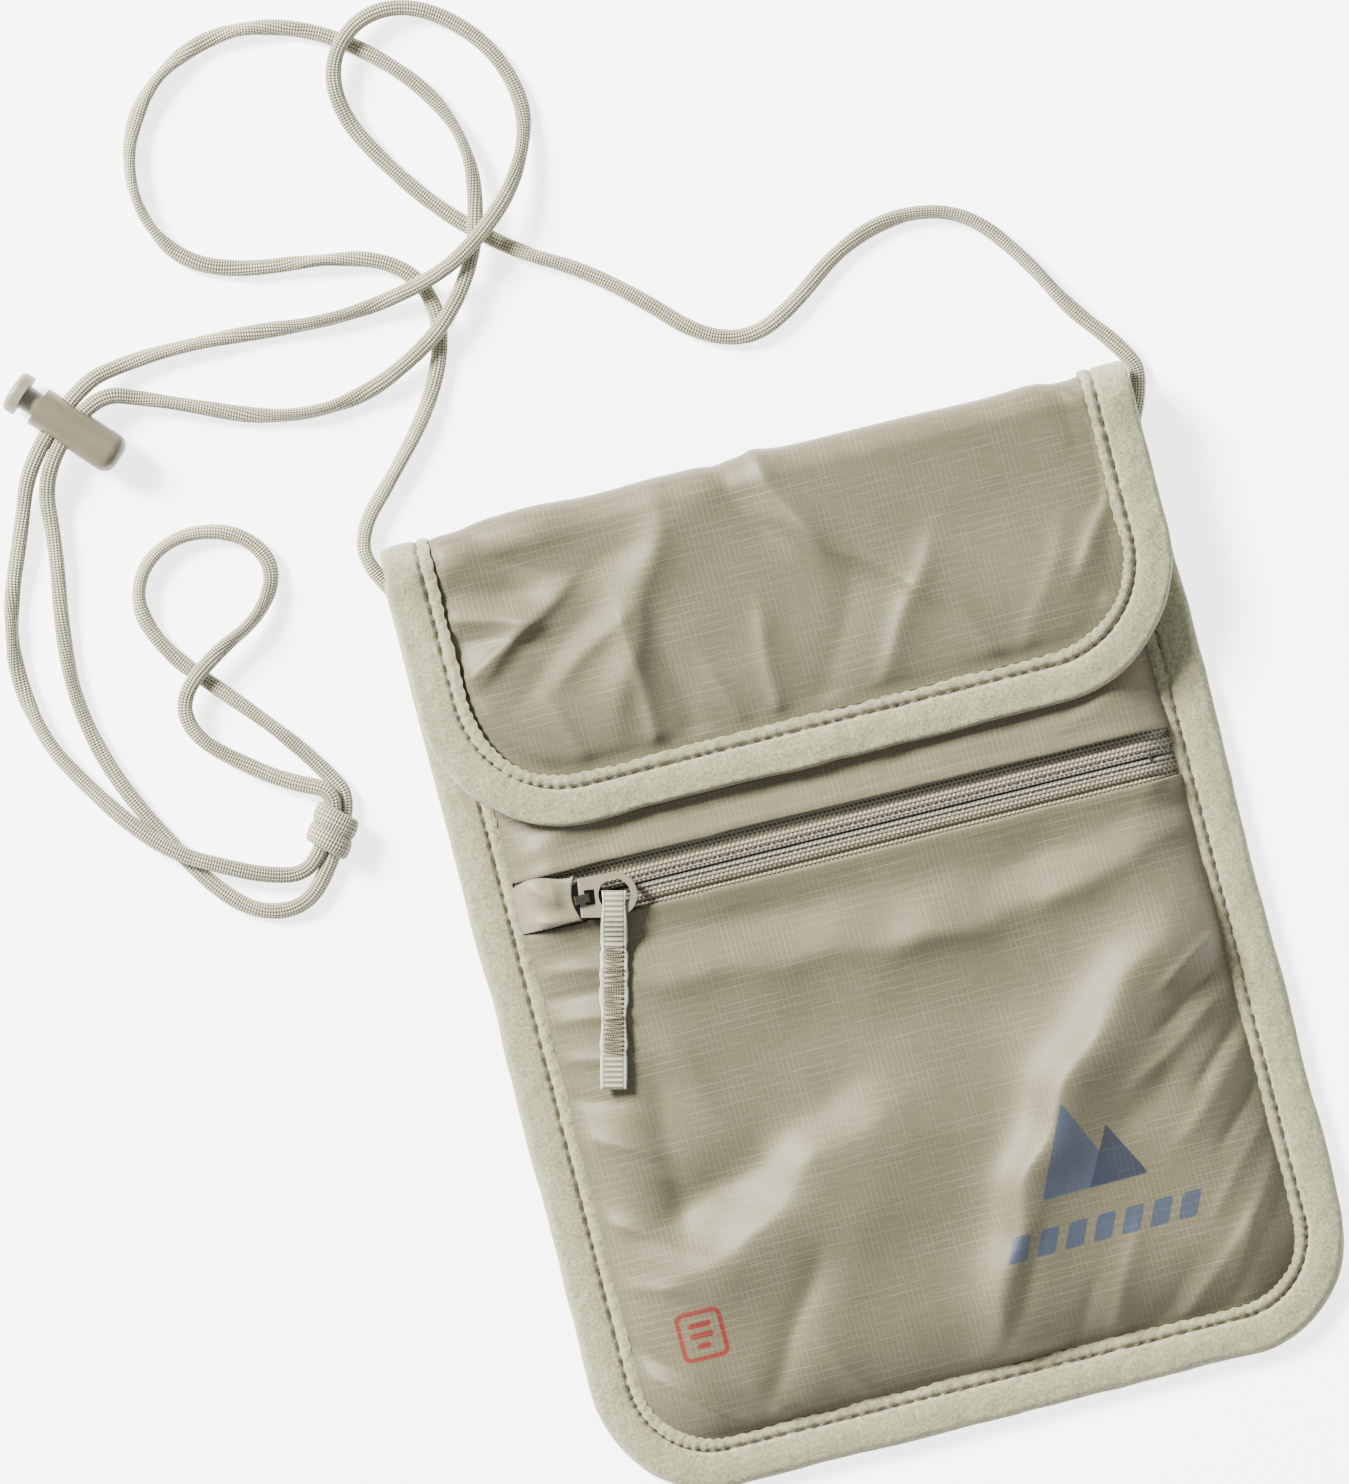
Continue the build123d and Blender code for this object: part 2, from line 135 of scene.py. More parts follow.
def make_object(name, vertices, faces, uv=None, material=None, attributes=None):
    """Smooth-shaded mesh object from vertices in millimetres."""
    mesh = bpy.data.meshes.new(name)
    mesh.from_pydata((np.asarray(vertices, float) * MM).tolist(), [], [list(map(int, f)) for f in faces])
    mesh.polygons.foreach_set("use_smooth", [True] * len(mesh.polygons))
    if uv is not None:
        layer = mesh.uv_layers.new(name="UVMap")
        corner = np.zeros(len(mesh.loops), int)
        mesh.loops.foreach_get("vertex_index", corner)
        layer.data.foreach_set("uv", np.asarray(uv, np.float32)[corner].ravel())
    for key, values in (attributes or {}).items():
        attribute = mesh.attributes.new(key, "FLOAT", "POINT")
        attribute.data.foreach_set("value", np.asarray(values, np.float32))
    if material:
        mesh.materials.append(material)
    obj = bpy.data.objects.new(name, mesh)
    scene.collection.objects.link(obj)
    return obj


def grid_faces(rows, columns, wrap=False, keep=None):
    """Quads of a grid of rows x columns vertices; wrap joins the last column to the first."""
    r = np.arange(rows - 1)[:, None]
    c = np.arange(columns if wrap else columns - 1)[None, :]
    n = (c + 1) % columns
    quads = np.stack(
        [r * columns + c, r * columns + n, (r + 1) * columns + n, (r + 1) * columns + c], -1
    ).reshape(-1, 4)
    if keep is not None:
        quads = quads[keep[quads].any(1)]
    return quads


def grid_object(name, points, uv, material, wrap=False, keep=None, attributes=None, flip=False):
    """Object from a (rows, columns, 3) grid of points; unused vertices are left out."""
    rows, columns = points.shape[:2]
    faces = grid_faces(rows, columns, wrap, keep)
    if flip:
        faces = faces[:, ::-1]
    used = np.zeros(rows * columns, bool)
    used[faces] = True
    renumber = np.cumsum(used) - 1
    return make_object(
        name,
        points.reshape(-1, 3)[used],
        renumber[faces],
        uv.reshape(-1, 2)[used],
        material,
        {k: v.reshape(-1)[used] for k, v in (attributes or {}).items()},
    )


def thicken(obj, thickness):
    """Gives a cloth its thickness, below its face."""
    solid = obj.modifiers.new("thickness", "SOLIDIFY")
    solid.thickness = thickness * MM
    solid.offset = -1


# ---------------------------------------------------------------- materials


class Nodes:
    """Short forms for building a material's nodes."""

    def __init__(self, name):
        self.material = bpy.data.materials.new(name)
        self.material.use_nodes = True
        self.tree = self.material.node_tree
        self.surface = self.tree.nodes["Principled BSDF"]

    def new(self, kind, **inputs):
        node = self.tree.nodes.new(kind)
        for key, value in inputs.items():
            self.put(node.inputs[key.replace("_", " ")], value)
        return node

    def put(self, socket, value):
        if isinstance(value, bpy.types.NodeSocket):
            self.tree.links.new(value, socket)
        else:
            socket.default_value = value

    def math(self, operation, a, b=0.0, c=0.0):
        node = self.tree.nodes.new("ShaderNodeMath")
        node.operation = operation
        for socket, value in zip(node.inputs, (a, b, c)):
            self.put(socket, value)
        return node.outputs[0]

    def ramp(self, value, low, high, to_low=0.0, to_high=1.0):
        node = self.tree.nodes.new("ShaderNodeMapRange")
        node.interpolation_type = "SMOOTHSTEP"
        for key, v in (("Value", value), ("From Min", low), ("From Max", high), ("To Min", to_low)):
            self.put(node.inputs[key], v)
        self.put(node.inputs["To Max"], to_high)
        return node.outputs[0]

    def mix(self, factor, a, b):
        node = self.tree.nodes.new("ShaderNodeMix")
        node.data_type = "RGBA"
        self.put(node.inputs[0], factor)
        self.put(node.inputs[6], a)
        self.put(node.inputs[7], b)
        return node.outputs[2]

    def uv(self):
        split = self.new("ShaderNodeSeparateXYZ")
        self.put(split.inputs[0], self.tree.nodes.new("ShaderNodeUVMap").outputs[0])
        return split.outputs[0], split.outputs[1]

    def noise(self, scale, detail=3.0, roughness=0.6, stretch=(1, 1, 1)):
        """Noise in the piece's own millimetres."""
        coordinates = self.tree.nodes.new("ShaderNodeTexCoord").outputs["Object"]
        mapping = self.tree.nodes.new("ShaderNodeMapping")
        self.put(mapping.inputs["Vector"], coordinates)
        mapping.inputs["Scale"].default_value = [s / MM for s in stretch]
        node = self.tree.nodes.new("ShaderNodeTexNoise")
        self.put(node.inputs["Vector"], mapping.outputs[0])
        node.inputs["Scale"].default_value = scale
        node.inputs["Detail"].default_value = detail
        node.inputs["Roughness"].default_value = roughness
        return node.outputs[0]

    def line(self, coordinate, period, width, soft, phase=0.0):
        """1 on evenly spaced lines, 0 between them."""
        turn = self.math("FRACT", self.math("MULTIPLY_ADD", coordinate, 1 / period, phase))
        off = self.math("ABSOLUTE", self.math("SUBTRACT", turn, 0.5))
        half = width / period / 2
        return self.ramp(off, half, half + soft / period, 1.0, 0.0)

    def finish(self, colour, roughness, height=None, depth=0.05, **extra):
        self.put(self.surface.inputs["Base Color"], colour)
        self.put(self.surface.inputs["Roughness"], roughness)
        for key, value in extra.items():
            self.put(self.surface.inputs[key.replace("_", " ")], value)
        if height is not None:
            bump = self.tree.nodes.new("ShaderNodeBump")
            bump.inputs["Strength"].default_value = 1.0
            bump.inputs["Distance"].default_value = depth * MM
            self.put(bump.inputs["Height"], height)
            self.put(self.surface.inputs["Normal"], bump.outputs[0])
        return self.material


INK_SLATE = (0.02, 0.03, 0.056, 1)
INK_NAVY = (0.004, 0.009, 0.024, 1)
INK_RED = (0.12, 0.0015, 0.001, 1)


def rgb(r, g, b):
    """Base colour that comes out near these 0 to 255 values under the studio light and the film curve."""
    middle = (r + g + b) / 3
    richer = [max(middle + (c - middle) * RICHNESS, 1) for c in (r, g, b)]
    return tuple((c / FILM_WHITE) ** FILM_POWER / LIGHT_LEVEL for c in richer) + (1,)


RIPSTOP_ROWS = 1.45
RIPSTOP_COLUMNS = 0.96


def ripstop_material(name, printed=False, lift=0):
    """Thin satin nylon with a faint grid of thicker threads painted paler as their sheen, and the prints
    where a piece has them.

    Lift makes the cloth paler by that much of 255.
    """
    n = Nodes(name)
    u, v = n.uv()
    # Painted sheen on the grid threads, coming and going in stretched patches along and across.
    along_sheen_patches = n.noise(0.16, 2.0, 0.6, (0.4, 1.6, 1))
    across_sheen_patches = n.noise(0.21, 2.0, 0.6, (1.6, 0.4, 1))
    along = n.line(v, RIPSTOP_ROWS, 0.12, 0.09)
    across = n.line(u, RIPSTOP_COLUMNS, 0.1, 0.08)
    along = n.math("MULTIPLY", along, n.ramp(along_sheen_patches, 0.35, 0.65, 0.15, 1.0))
    across = n.math("MULTIPLY", across, n.ramp(across_sheen_patches, 0.35, 0.65, 0.1, 0.9))
    grid = n.math("MAXIMUM", along, across)
    slub = n.noise(1.3, 3.0, 0.6, (0.25, 3.0, 1))
    dark, light = ((r + lift, g + lift, b + lift) for r, g, b in ((142, 137, 118), (153, 148, 129)))
    ground = n.mix(n.ramp(slub, 0.3, 0.7), rgb(*dark), rgb(*light))
    # The grid threads are mixed towards a pale colour: painted sheen on the thicker threads.
    colour = n.mix(n.math("MULTIPLY", grid, 0.24), ground, rgb(205, 203, 186))
    if printed:
        inks = (("ink_slate", INK_SLATE), ("ink_navy", INK_NAVY), ("ink_red", INK_RED))
        for key, ink in inks:
            attribute = n.tree.nodes.new("ShaderNodeAttribute")
            attribute.attribute_name = key
            covered = n.ramp(attribute.outputs["Fac"], -0.1, 0.1, 1.0, 0.0)
            # Ink is thinned over the grid threads: wear on the raised threads, with the grid's painted sheen
            # showing through.
            worn = n.math("MULTIPLY", covered, n.ramp(grid, 0.0, 1.0, 0.97, 0.84))
            colour = n.mix(worn, colour, ink)
    height = n.math("ADD", n.math("MULTIPLY", grid, 0.6), n.math("MULTIPLY", slub, 0.35))
    return n.finish(
        colour,
        0.56,
        height,
        0.03,
        Sheen_Weight=0.2,
        Specular_IOR_Level=0.42,
        Specular_Tint=(0.98, 1, 0.84, 1),
    )


def suede_material(name):
    """Brushed binding with a short pile that lies this way and that."""
    n = Nodes(name)
    base = (215, 214, 188)
    pile = n.noise(1.5, 6.0, 0.8)
    coarse = n.noise(0.45, 3.0)
    dark = tuple(c * 0.84 for c in base)
    light = tuple(min(255, c * 1.09) for c in base)
    colour = n.mix(n.ramp(pile, 0.32, 0.68), rgb(*dark), rgb(*light))
    colour = n.mix(n.ramp(coarse, 0.25, 0.75, 0.0, 0.3), colour, rgb(*dark))
    return n.finish(colour, 0.92, pile, 0.32, Sheen_Weight=0.3, Sheen_Roughness=0.45)


def thread_material(name, base):
    """Twisted sewing thread, with painted shade in the grooves of its twist."""
    n = Nodes(name)
    u, v = n.uv()
    twist = n.math("SINE", n.math("MULTIPLY", n.math("ADD", u, n.math("MULTIPLY", v, 0.6)), 14.0))
    # Painted shade in the grooves of the twist.
    colour = n.mix(n.ramp(twist, -1, 1), rgb(*(c * 0.82 for c in base)), rgb(*base))
    return n.finish(colour, 0.7, twist, 0.03, Sheen_Weight=0.2)


TAPE_LOOP = 0.84
TAPE_ROW = 0.8
TAPE_HOLES_OFF = 1.1
TAPE_HOLE_PITCH = 1.25


def tape_material(name):
    """Knitted zip tape: small loops in columns, with painted shade in the hollows of the knit, in a row of
    needle holes either side and down the middle where the two halves meet.
    """
    n = Nodes(name)
    u, v = n.uv()
    stagger = n.math("MULTIPLY", n.math("FLOOR", n.math("DIVIDE", v, TAPE_ROW)), TAPE_LOOP / 2)
    loops = n.math("SINE", n.math("MULTIPLY", n.math("ADD", u, stagger), 2 * math.pi / TAPE_LOOP))
    rows = n.math("SINE", n.math("MULTIPLY", v, 2 * math.pi / TAPE_ROW))
    knit = n.math("MULTIPLY_ADD", loops, 0.5, n.math("MULTIPLY", rows, 0.5))
    rough = n.noise(1.6, 2.0)
    # The loops are coloured from their own relief: painted shade in the knit's hollows.
    colour = n.mix(n.ramp(knit, -0.75, 0.45), rgb(112, 106, 88), rgb(204, 201, 183))
    colour = n.mix(n.ramp(rough, 0.35, 0.75, 0.0, 0.35), colour, rgb(150, 144, 125))
    middle = n.math("ABSOLUTE", v)
    off = n.math("ABSOLUTE", n.math("SUBTRACT", middle, TAPE_HOLES_OFF))
    hole = n.math("MULTIPLY", n.ramp(off, 0.1, 0.24, 1.0, 0.0), n.line(u, TAPE_HOLE_PITCH, 0.5, 0.2))
    # Painted shade in the needle holes.
    colour = n.mix(n.math("MULTIPLY", hole, 0.9), colour, rgb(40, 36, 28))
    # Painted shade down the middle, where the two halves meet over the gap.
    colour = n.mix(n.ramp(middle, 0.16, 0.34, 0.9, 0.0), colour, rgb(50, 46, 38))
    height = n.math("SUBTRACT", knit, n.math("MULTIPLY", hole, 2.0))
    return n.finish(colour, 0.8, height, 0.16, Sheen_Weight=0.15)


RIB_PITCH = 0.95
SELVEDGE_OFF = 1.72


def grosgrain_material(name):
    """Ribbed ribbon with a smooth, paler selvedge along both edges, and painted shade in the rib valleys and
    in the groove beside each selvedge.
    """
    n = Nodes(name)
    u, v = n.uv()
    rib = n.math("SINE", n.math("MULTIPLY", u, 2 * math.pi / RIB_PITCH))
    off = n.math("ABSOLUTE", v)
    edge = n.ramp(off, SELVEDGE_OFF, 1.8, 0.0, 1.0)
    groove = n.ramp(n.math("ABSOLUTE", n.math("SUBTRACT", off, SELVEDGE_OFF)), 0.05, 0.14, 1.0, 0.0)
    # The ribs are coloured from their own relief: painted shade in the valleys between them.
    body = n.mix(n.ramp(rib, -0.7, 0.5), rgb(176, 176, 150), rgb(226, 226, 205))
    colour = n.mix(edge, body, rgb(232, 232, 214))
    # Painted shade in the groove beside each selvedge.
    colour = n.mix(n.math("MULTIPLY", groove, 0.6), colour, rgb(140, 140, 116))
    height = n.math("SUBTRACT", n.math("MULTIPLY", rib, n.math("SUBTRACT", 1.0, edge)), groove)
    return n.finish(colour, 0.6, height, 0.09, Sheen_Weight=0.2)


BRAID_PITCH = 1.0


def braid_material(name):
    """Fine tubular braid: two crossing sets of strands, with painted shade between them and a painted
    highlight where they come up.
    """
    n = Nodes(name)
    u, v = n.uv()
    one = n.math("SINE", n.math("MULTIPLY", n.math("ADD", u, v), 2 * math.pi / BRAID_PITCH))
    other = n.math("SINE", n.math("MULTIPLY", n.math("SUBTRACT", u, v), 2 * math.pi / BRAID_PITCH))
    bump = n.math("MULTIPLY", one, other)
    worn = n.noise(0.25, 2.0)
    # Painted shade in the gaps between the strands, from the braid's own relief.
    colour = n.mix(n.ramp(bump, -0.6, 0.1), rgb(126, 120, 98), rgb(234, 232, 208))
    # Painted highlight on the strands where they come up.
    colour = n.mix(n.ramp(bump, 0.25, 0.8, 0.0, 0.85), colour, rgb(253, 252, 238))
    colour = n.mix(n.ramp(worn, 0.35, 0.7, 0.0, 0.25), colour, rgb(160, 154, 135))
    return n.finish(colour, 0.68, bump, 0.12, Sheen_Weight=0.2)


def plastic_material(name, base, roughness):
    """Smooth plastic or lacquer with a fine grain and faint blotches."""
    n = Nodes(name)
    grain = n.noise(1.2, 4.0, 0.6)
    blotch = n.noise(0.12, 2.0)
    colour = n.mix(n.ramp(blotch, 0.3, 0.7), rgb(*(c * 0.97 for c in base)), rgb(*base))
    return n.finish(colour, n.ramp(grain, 0.3, 0.7, roughness - 0.05, roughness + 0.06), grain, 0.012)


def plain_cloth_material(name, base, period):
    """Matt plain weave, with painted shade in the hollows of the weave."""
    n = Nodes(name)
    u, v = n.uv()
    weave = n.math(
        "MULTIPLY",
        n.math("SINE", n.math("MULTIPLY", u, 2 * math.pi / period)),
        n.math("SINE", n.math("MULTIPLY", v, 2 * math.pi / period)),
    )
    shade = n.noise(0.4, 3.0)
    # The weave is coloured from its own relief: painted shade in its hollows.
    colour = n.mix(n.ramp(weave, -0.6, 0.6), rgb(*(c * 0.88 for c in base)), rgb(*base))
    colour = n.mix(n.ramp(shade, 0.3, 0.75, 0.0, 0.2), colour, rgb(*(c * 0.85 for c in base)))
    return n.finish(colour, 0.85, weave, 0.05, Sheen_Weight=0.2)


ripstop = ripstop_material("ripstop")
ripstop_printed = ripstop_material("ripstop_printed", printed=True)
# The tab's copy of the ripstop is made paler: partly its own paler cloth, partly painted light for the light
# the raised tab catches.
ripstop_tab = ripstop_material("ripstop_tab", lift=22)
suede = suede_material("binding_suede")
# The binding's stitches get a thread much darker than the binding: painted shade for the stitches sunk in
# their groove.
thread = thread_material("thread", (138, 131, 110))
knit_tape = tape_material("zip_tape")
grosgrain = grosgrain_material("grosgrain")
braid = braid_material("braid")
lining_cloth = plain_cloth_material("lining_cloth", (150, 144, 126), 0.42)
back_cloth = plain_cloth_material("back_cloth", (182, 177, 158), 0.8)
barrel_plastic = plastic_material("barrel_plastic", (160, 155, 138), 0.4)
plunger_plastic = plastic_material("plunger_plastic", (184, 182, 166), 0.45)
lacquer = plastic_material("pull_lacquer", (184, 180, 163), 0.34)
# The slider's finish is made very dark: partly its own dark metal, partly painted shade for the hollow under
# the pull.
slider_metal = plastic_material("slider_metal", (80, 75, 62), 0.38)

# ---------------------------------------------------------------- pouch geometry, millimetres

HALF_WIDTH = 70.0
HALF_HEIGHT = 90.0
CORNER = 22.0
INNER_HALF = 61.0
INNER_BOTTOM = -80.5
INNER_CORNER = 13.0
FOLD_Y = 84.4
FOLD_Z = 5.6
EDGE_Z = 2.55
FLAT_Z = 8.05
MOUTH_Y = 82.0


def zip_line(x):
    """Height up the pouch of the zip's middle; it is sewn a little out of level."""
    return 19.85 - 0.0085 * x


def inside(x, y, half, bottom, corner):
    """Distance inwards from a U outline that is open at the top."""
    across = np.abs(x) - (half - corner)
    down = (bottom + corner) - y
    out = np.hypot(np.maximum(across, 0), np.maximum(down, 0))
    return corner - out - np.minimum(np.maximum(across, down), 0)


def fold(x, y, start, end, width, height, lean=1.0):
    """One crease or soft ridge between two points, fading beyond its ends.

    Lean is how wide its right-hand side is, seen along the fold, as a share of its left-hand side.
    """
    ax, ay = start
    bx, by = end
    length = math.hypot(bx - ax, by - ay)
    ux, uy = (bx - ax) / length, (by - ay) / length
    along = (x - ax) * ux + (y - ay) * uy
    off = (x - ax) * -uy + (y - ay) * ux
    off = off + 0.12 * width * np.sin(along * 0.33 + ax)
    off = np.where(off < 0, off / lean, off)
    over = np.maximum(np.maximum(-along, along - length), 0)
    round_top = 0.55 * width
    profile = np.exp(-(np.sqrt(off * off + round_top**2) - round_top) / width * 1.25)
    return height * profile * np.exp(-((over / (1.6 * width + 2)) ** 2))


LOWER_FOLDS = [
    ((64, -9), (45, -17), 8.0, 1.6, 0.9),
    ((45, -17), (31, -30), 8.0, 2.2, 0.6),
    ((31, -30), (19, -45), 8.0, 2.4, 0.5),
    ((19, -45), (11, -60), 8.0, 2.1, 0.45),
    ((11, -60), (4, -77), 6.5, 1.6, 0.5),
    ((60, -26), (38, -42), 4.0, -0.8, 1.0),
    ((-56, -42), (-43, -50), 3.5, 1.1, 2.5),
    ((-43, -50), (-32, -46), 4.0, 1.6, 2.5),
    ((-32, -46), (-20, -36), 5.0, 1.9, 3.0),
    ((-20, -36), (-6, -32), 5.0, 1.6, 3.0),
    ((-6, -32), (6, -38), 4.5, 1.0, 2.0),
    ((-48, -40), (-36, -36), 4.0, -1.2, 1.0),
    ((-36, -34), (-14, -26), 6.0, -0.9, 1.0),
    ((-58, -24), (-50, -30), 5.0, 1.1, 0.6),
    ((-45, -18), (-46, -38), 3.6, -1.0, 1.0),
    ((-40, -12), (-34, -28), 4.0, 0.8, 1.0),
    ((-36, -72), (-27, -58), 3.0, -0.9, 0.7),
    ((-30, -74), (-16, -52), 6.0, 0.7, 1.0),
    ((-62, 13), (-20, 9), 3.5, -0.5, 1.0),
    ((-20, 9), (30, 7), 5.0, -0.9, 1.0),
    ((30, 7), (62, 11), 4.0, -0.6, 1.0),
    ((-36, 2), (12, -2), 5.0, 1.4, 0.7),
    ((12, -2), (36, 0), 5.0, 1.3, 0.7),
    ((36, 0), (62, 7), 3.6, 0.9, 0.7),
    ((-14, -14), (34, -18), 8.0, -0.9, 1.0),
    ((62, -13), (51, -19), 1.5, 0.7, 0.6),
    ((62, -18), (48, -27), 1.5, -0.7, 1.0),
    ((62, -23), (44, -34), 2.2, 0.6, 0.5),
    ((62, -29), (52, -38), 1.3, -0.7, 1.0),
    ((62, -33), (48, -46), 2.4, 0.55, 0.6),
    ((62, -41), (54, -49), 1.3, -0.6, 1.0),
    ((61, -48), (50, -60), 1.8, 0.4, 0.6),
    ((61, -55), (52, -69), 2.6, 0.6, 0.6),
    ((57, -66), (47, -79), 1.8, -0.4, 1.0),
    ((53, -66), (38, -80), 2.0, 0.55, 0.6),
    ((40, -73), (32, -81), 2.2, -0.35, 1.0),
    ((31, -66), (24, -80), 2.4, 0.5, 0.6),
    ((22, -72), (17, -80), 1.7, -0.35, 1.0),
    ((14, -62), (4, -79), 2.4, -0.9, 1.0),
    ((-62, 9), (-50, 7), 1.6, 0.7, 0.6),
    ((-62, 4), (-51, 3), 1.4, -0.6, 1.0),
    ((-62, 0), (-50, -2), 1.7, 0.7, 0.6),
    ((-62, -7), (-54, -9), 1.5, 0.6, 0.6),
    ((-62, -14), (-53, -17), 1.4, -0.5, 1.0),
    ((-62, -21), (-50, -27), 2.0, 0.7, 0.6),
    ((-62, -36), (-54, -41), 1.6, 0.7, 0.6),
    ((-62, -49), (-53, -52), 1.6, 0.6, 0.6),
    ((-61, -60), (-46, -76), 1.8, -0.7, 1.0),
    ((-60, -66), (-42, -81), 2.0, 0.9, 0.6),
    ((-40, -74), (-35, -82), 1.6, 0.5, 1.0),
    ((-24, -74), (-19, -82), 1.6, 0.5, 1.0),
]

UPPER_FOLDS = [
    ((-62, 29), (-48, 33), 2.5, 0.6),
    ((-56, 35), (-44, 27), 2.5, -0.5),
    ((-40, 29), (10, 30), 2.5, -0.3),
    ((62, 36), (40, 27), 2.2, 0.4),
]

FLAP_FOLDS = [
    ((-60, 90), (-47, 82), 2.2, -0.8, 1.0),
    ((-62, 84), (-44, 86), 5.0, 1.2, 0.7),
    ((-62, 80), (-46, 76), 2.0, -0.4, 1.0),
    ((-46, 77), (-24, 79), 3.5, -0.5, 1.0),
    ((-62, 75), (-48, 71), 1.8, 0.8, 0.7),
    ((-62, 71), (-50, 68), 1.5, -0.6, 1.0),
    ((-62, 62), (-50, 68), 1.6, 0.7, 0.6),
    ((-54, 65), (-42, 73), 3.0, 1.1, 0.5),
    ((-48, 60), (-38, 68), 3.0, -0.5, 1.0),
    ((-40, 61), (-32, 66), 2.4, 0.5, 0.6),
    ((-32, 56), (-22, 77), 4.4, 1.2, 0.7),
    ((-22, 77), (-8, 88), 5.0, 0.7, 1.0),
    ((-30, 64), (-29, 43), 2.2, 0.9, 0.6),
    ((-24, 62), (-22, 44), 3.0, -0.6, 1.0),
    ((-6, 58), (-7, 43), 2.2, 0.7, 0.6),
    ((0, 88), (6, 74), 2.8, 1.0, 0.6),
    ((6, 74), (22, 61), 4.0, 1.3, 0.5),
    ((-8, 88), (-2, 78), 2.2, -0.8, 1.0),
    ((24, 62), (16, 50), 3.0, 0.9, 0.6),
    ((10, 60), (3, 46), 3.0, -0.5, 1.0),
    ((50, 72), (22, 68), 7.0, -0.6, 1.0),
    ((62, 82), (50, 90), 2.4, 1.1, 0.6),
    ((62, 76), (55, 88), 2.0, -1.0, 1.0),
    ((62, 68), (54, 58), 2.4, 0.8, 0.6),
    ((48, 58), (40, 45), 3.4, 0.5, 0.6),
    ((30, 52), (35, 43), 2.0, 0.5, 1.0),
    ((-16, 52), (-13, 43), 1.7, 0.5, 1.0),
    ((-45, 52), (-42, 44), 1.8, 0.5, 1.0),
    ((52, 53), (57, 46), 1.6, -0.5, 1.0),
    ((-57, 56), (-51, 47), 1.7, 0.5, 1.0),
]


def wrinkles(x, y, folds):
    """Height of all the creases in a list."""
    total = 0.0
    for crease in folds:
        total = total + fold(x, y, *crease)
    return total


def front_pillow(x, y):
    """Height of the stuffed shape of the front, before its creases."""
    depth = inside(x, y, INNER_HALF + 0.5, INNER_BOTTOM - 0.5, INNER_CORNER + 0.5)
    near_zip = np.exp(-(((y - 20) / 11.0) ** 2))
    rise = 15.0 - 9.0 * near_zip
    pillow = 1 - (1 - np.clip(depth / rise, 0, 1)) ** 2.3
    return EDGE_Z + (FLAT_Z - EDGE_Z) * pillow, depth


def front_height(x, y):
    """Height of the front of the pouch, with its creases."""
    height, depth = front_pillow(x, y)
    swell = 0.4 * noise_2d(x + 200, y + 200, 4, 27.0) + 0.2 * noise_2d(x + 200, y + 200, 5, 9.0)
    creases = 1.15 * wrinkles(x, y, LOWER_FOLDS) + wrinkles(x, y, UPPER_FOLDS)
    calm = smooth(np.abs(y - 20.4) / 6.5 - 0.65) * (1 - 0.75 * smooth((y - 38) / 6))
    return height + (swell + creases) * calm * smooth(depth / 4.0 + 0.15)


def tape_height(x):
    """Height of the zip tape along the pouch."""
    depth = 61.5 - np.abs(x)
    return EDGE_Z - 0.5 + (FLAT_Z + 0.1 - EDGE_Z) * (1 - (1 - np.clip(depth / 8.5, 0, 1)) ** 2.3)


# ---------------------------------------------------------------- prints as signed distances


def box_distance(x, y, centre, half_size, corner):
    """Rectangle with round corners, negative inside."""
    dx = np.abs(x - centre[0]) - half_size[0] + corner
    dy = np.abs(y - centre[1]) - half_size[1] + corner
    return np.hypot(np.maximum(dx, 0), np.maximum(dy, 0)) + np.minimum(np.maximum(dx, dy), 0) - corner


def triangle_distance(x, y, left, peak, right):
    """Triangle, negative inside; its corners are given from left to right."""
    inside_all = None
    for (ax, ay), (bx, by) in ((left, right), (right, peak), (peak, left)):
        length = math.hypot(bx - ax, by - ay)
        off = ((x - ax) * (by - ay) - (y - ay) * (bx - ax)) / length
        inside_all = off if inside_all is None else np.maximum(inside_all, off)
    return inside_all


def slate_ink(x, y):
    """Large peak over a row of leaning bars."""
    peak = triangle_distance(x, y, (17.5, -53.0), (25.0, -36.5), (32.5, -53.0))
    leaning = x - 0.45 * (y + 60.4)
    bars = [box_distance(leaning, y, (11.5 + 5.3 * i, -60.4), (1.75, 2.3), 0.5) for i in range(7)]
    return np.minimum.reduce([peak, *bars])


def navy_ink(x, y):
    """Small peak in front of the large one."""
    return triangle_distance(x, y, (26.5, -53.0), (32.0, -42.5), (37.5, -53.0))


def red_ink(x, y):
    """Outline of a rounded square with three bars in it."""
    centre = (-47.8, -61.5)
    frame_line = np.abs(box_distance(x, y, centre, (3.9, 4.2), 1.1)) - 0.42
    bars = [
        box_distance(x, y, (centre[0], centre[1] + rise), (half, 0.55), 0.35)
        for rise, half in ((1.9, 2.2), (0, 2.2), (-1.9, 1.3))
    ]
    return np.minimum.reduce([frame_line, *bars])


# ---------------------------------------------------------------- front cloth


CLOTH_STEP = 0.55
CLOTH_HALF = 62.6
HEM_ROLL = 0.42


def hem_rows(straight):
    """Rows up to a folded edge at 0, then the rows that roll under it, each as (y, height)."""
    rows = [(y, 0.0) for y in straight]
    for angle in np.radians(np.arange(0, 181, 22.5)):
        rows.append((-HEM_ROLL + HEM_ROLL * math.sin(angle), -HEM_ROLL + HEM_ROLL * math.cos(angle)))
    rows.append((-HEM_ROLL - 1.6, -2 * HEM_ROLL))
    return rows


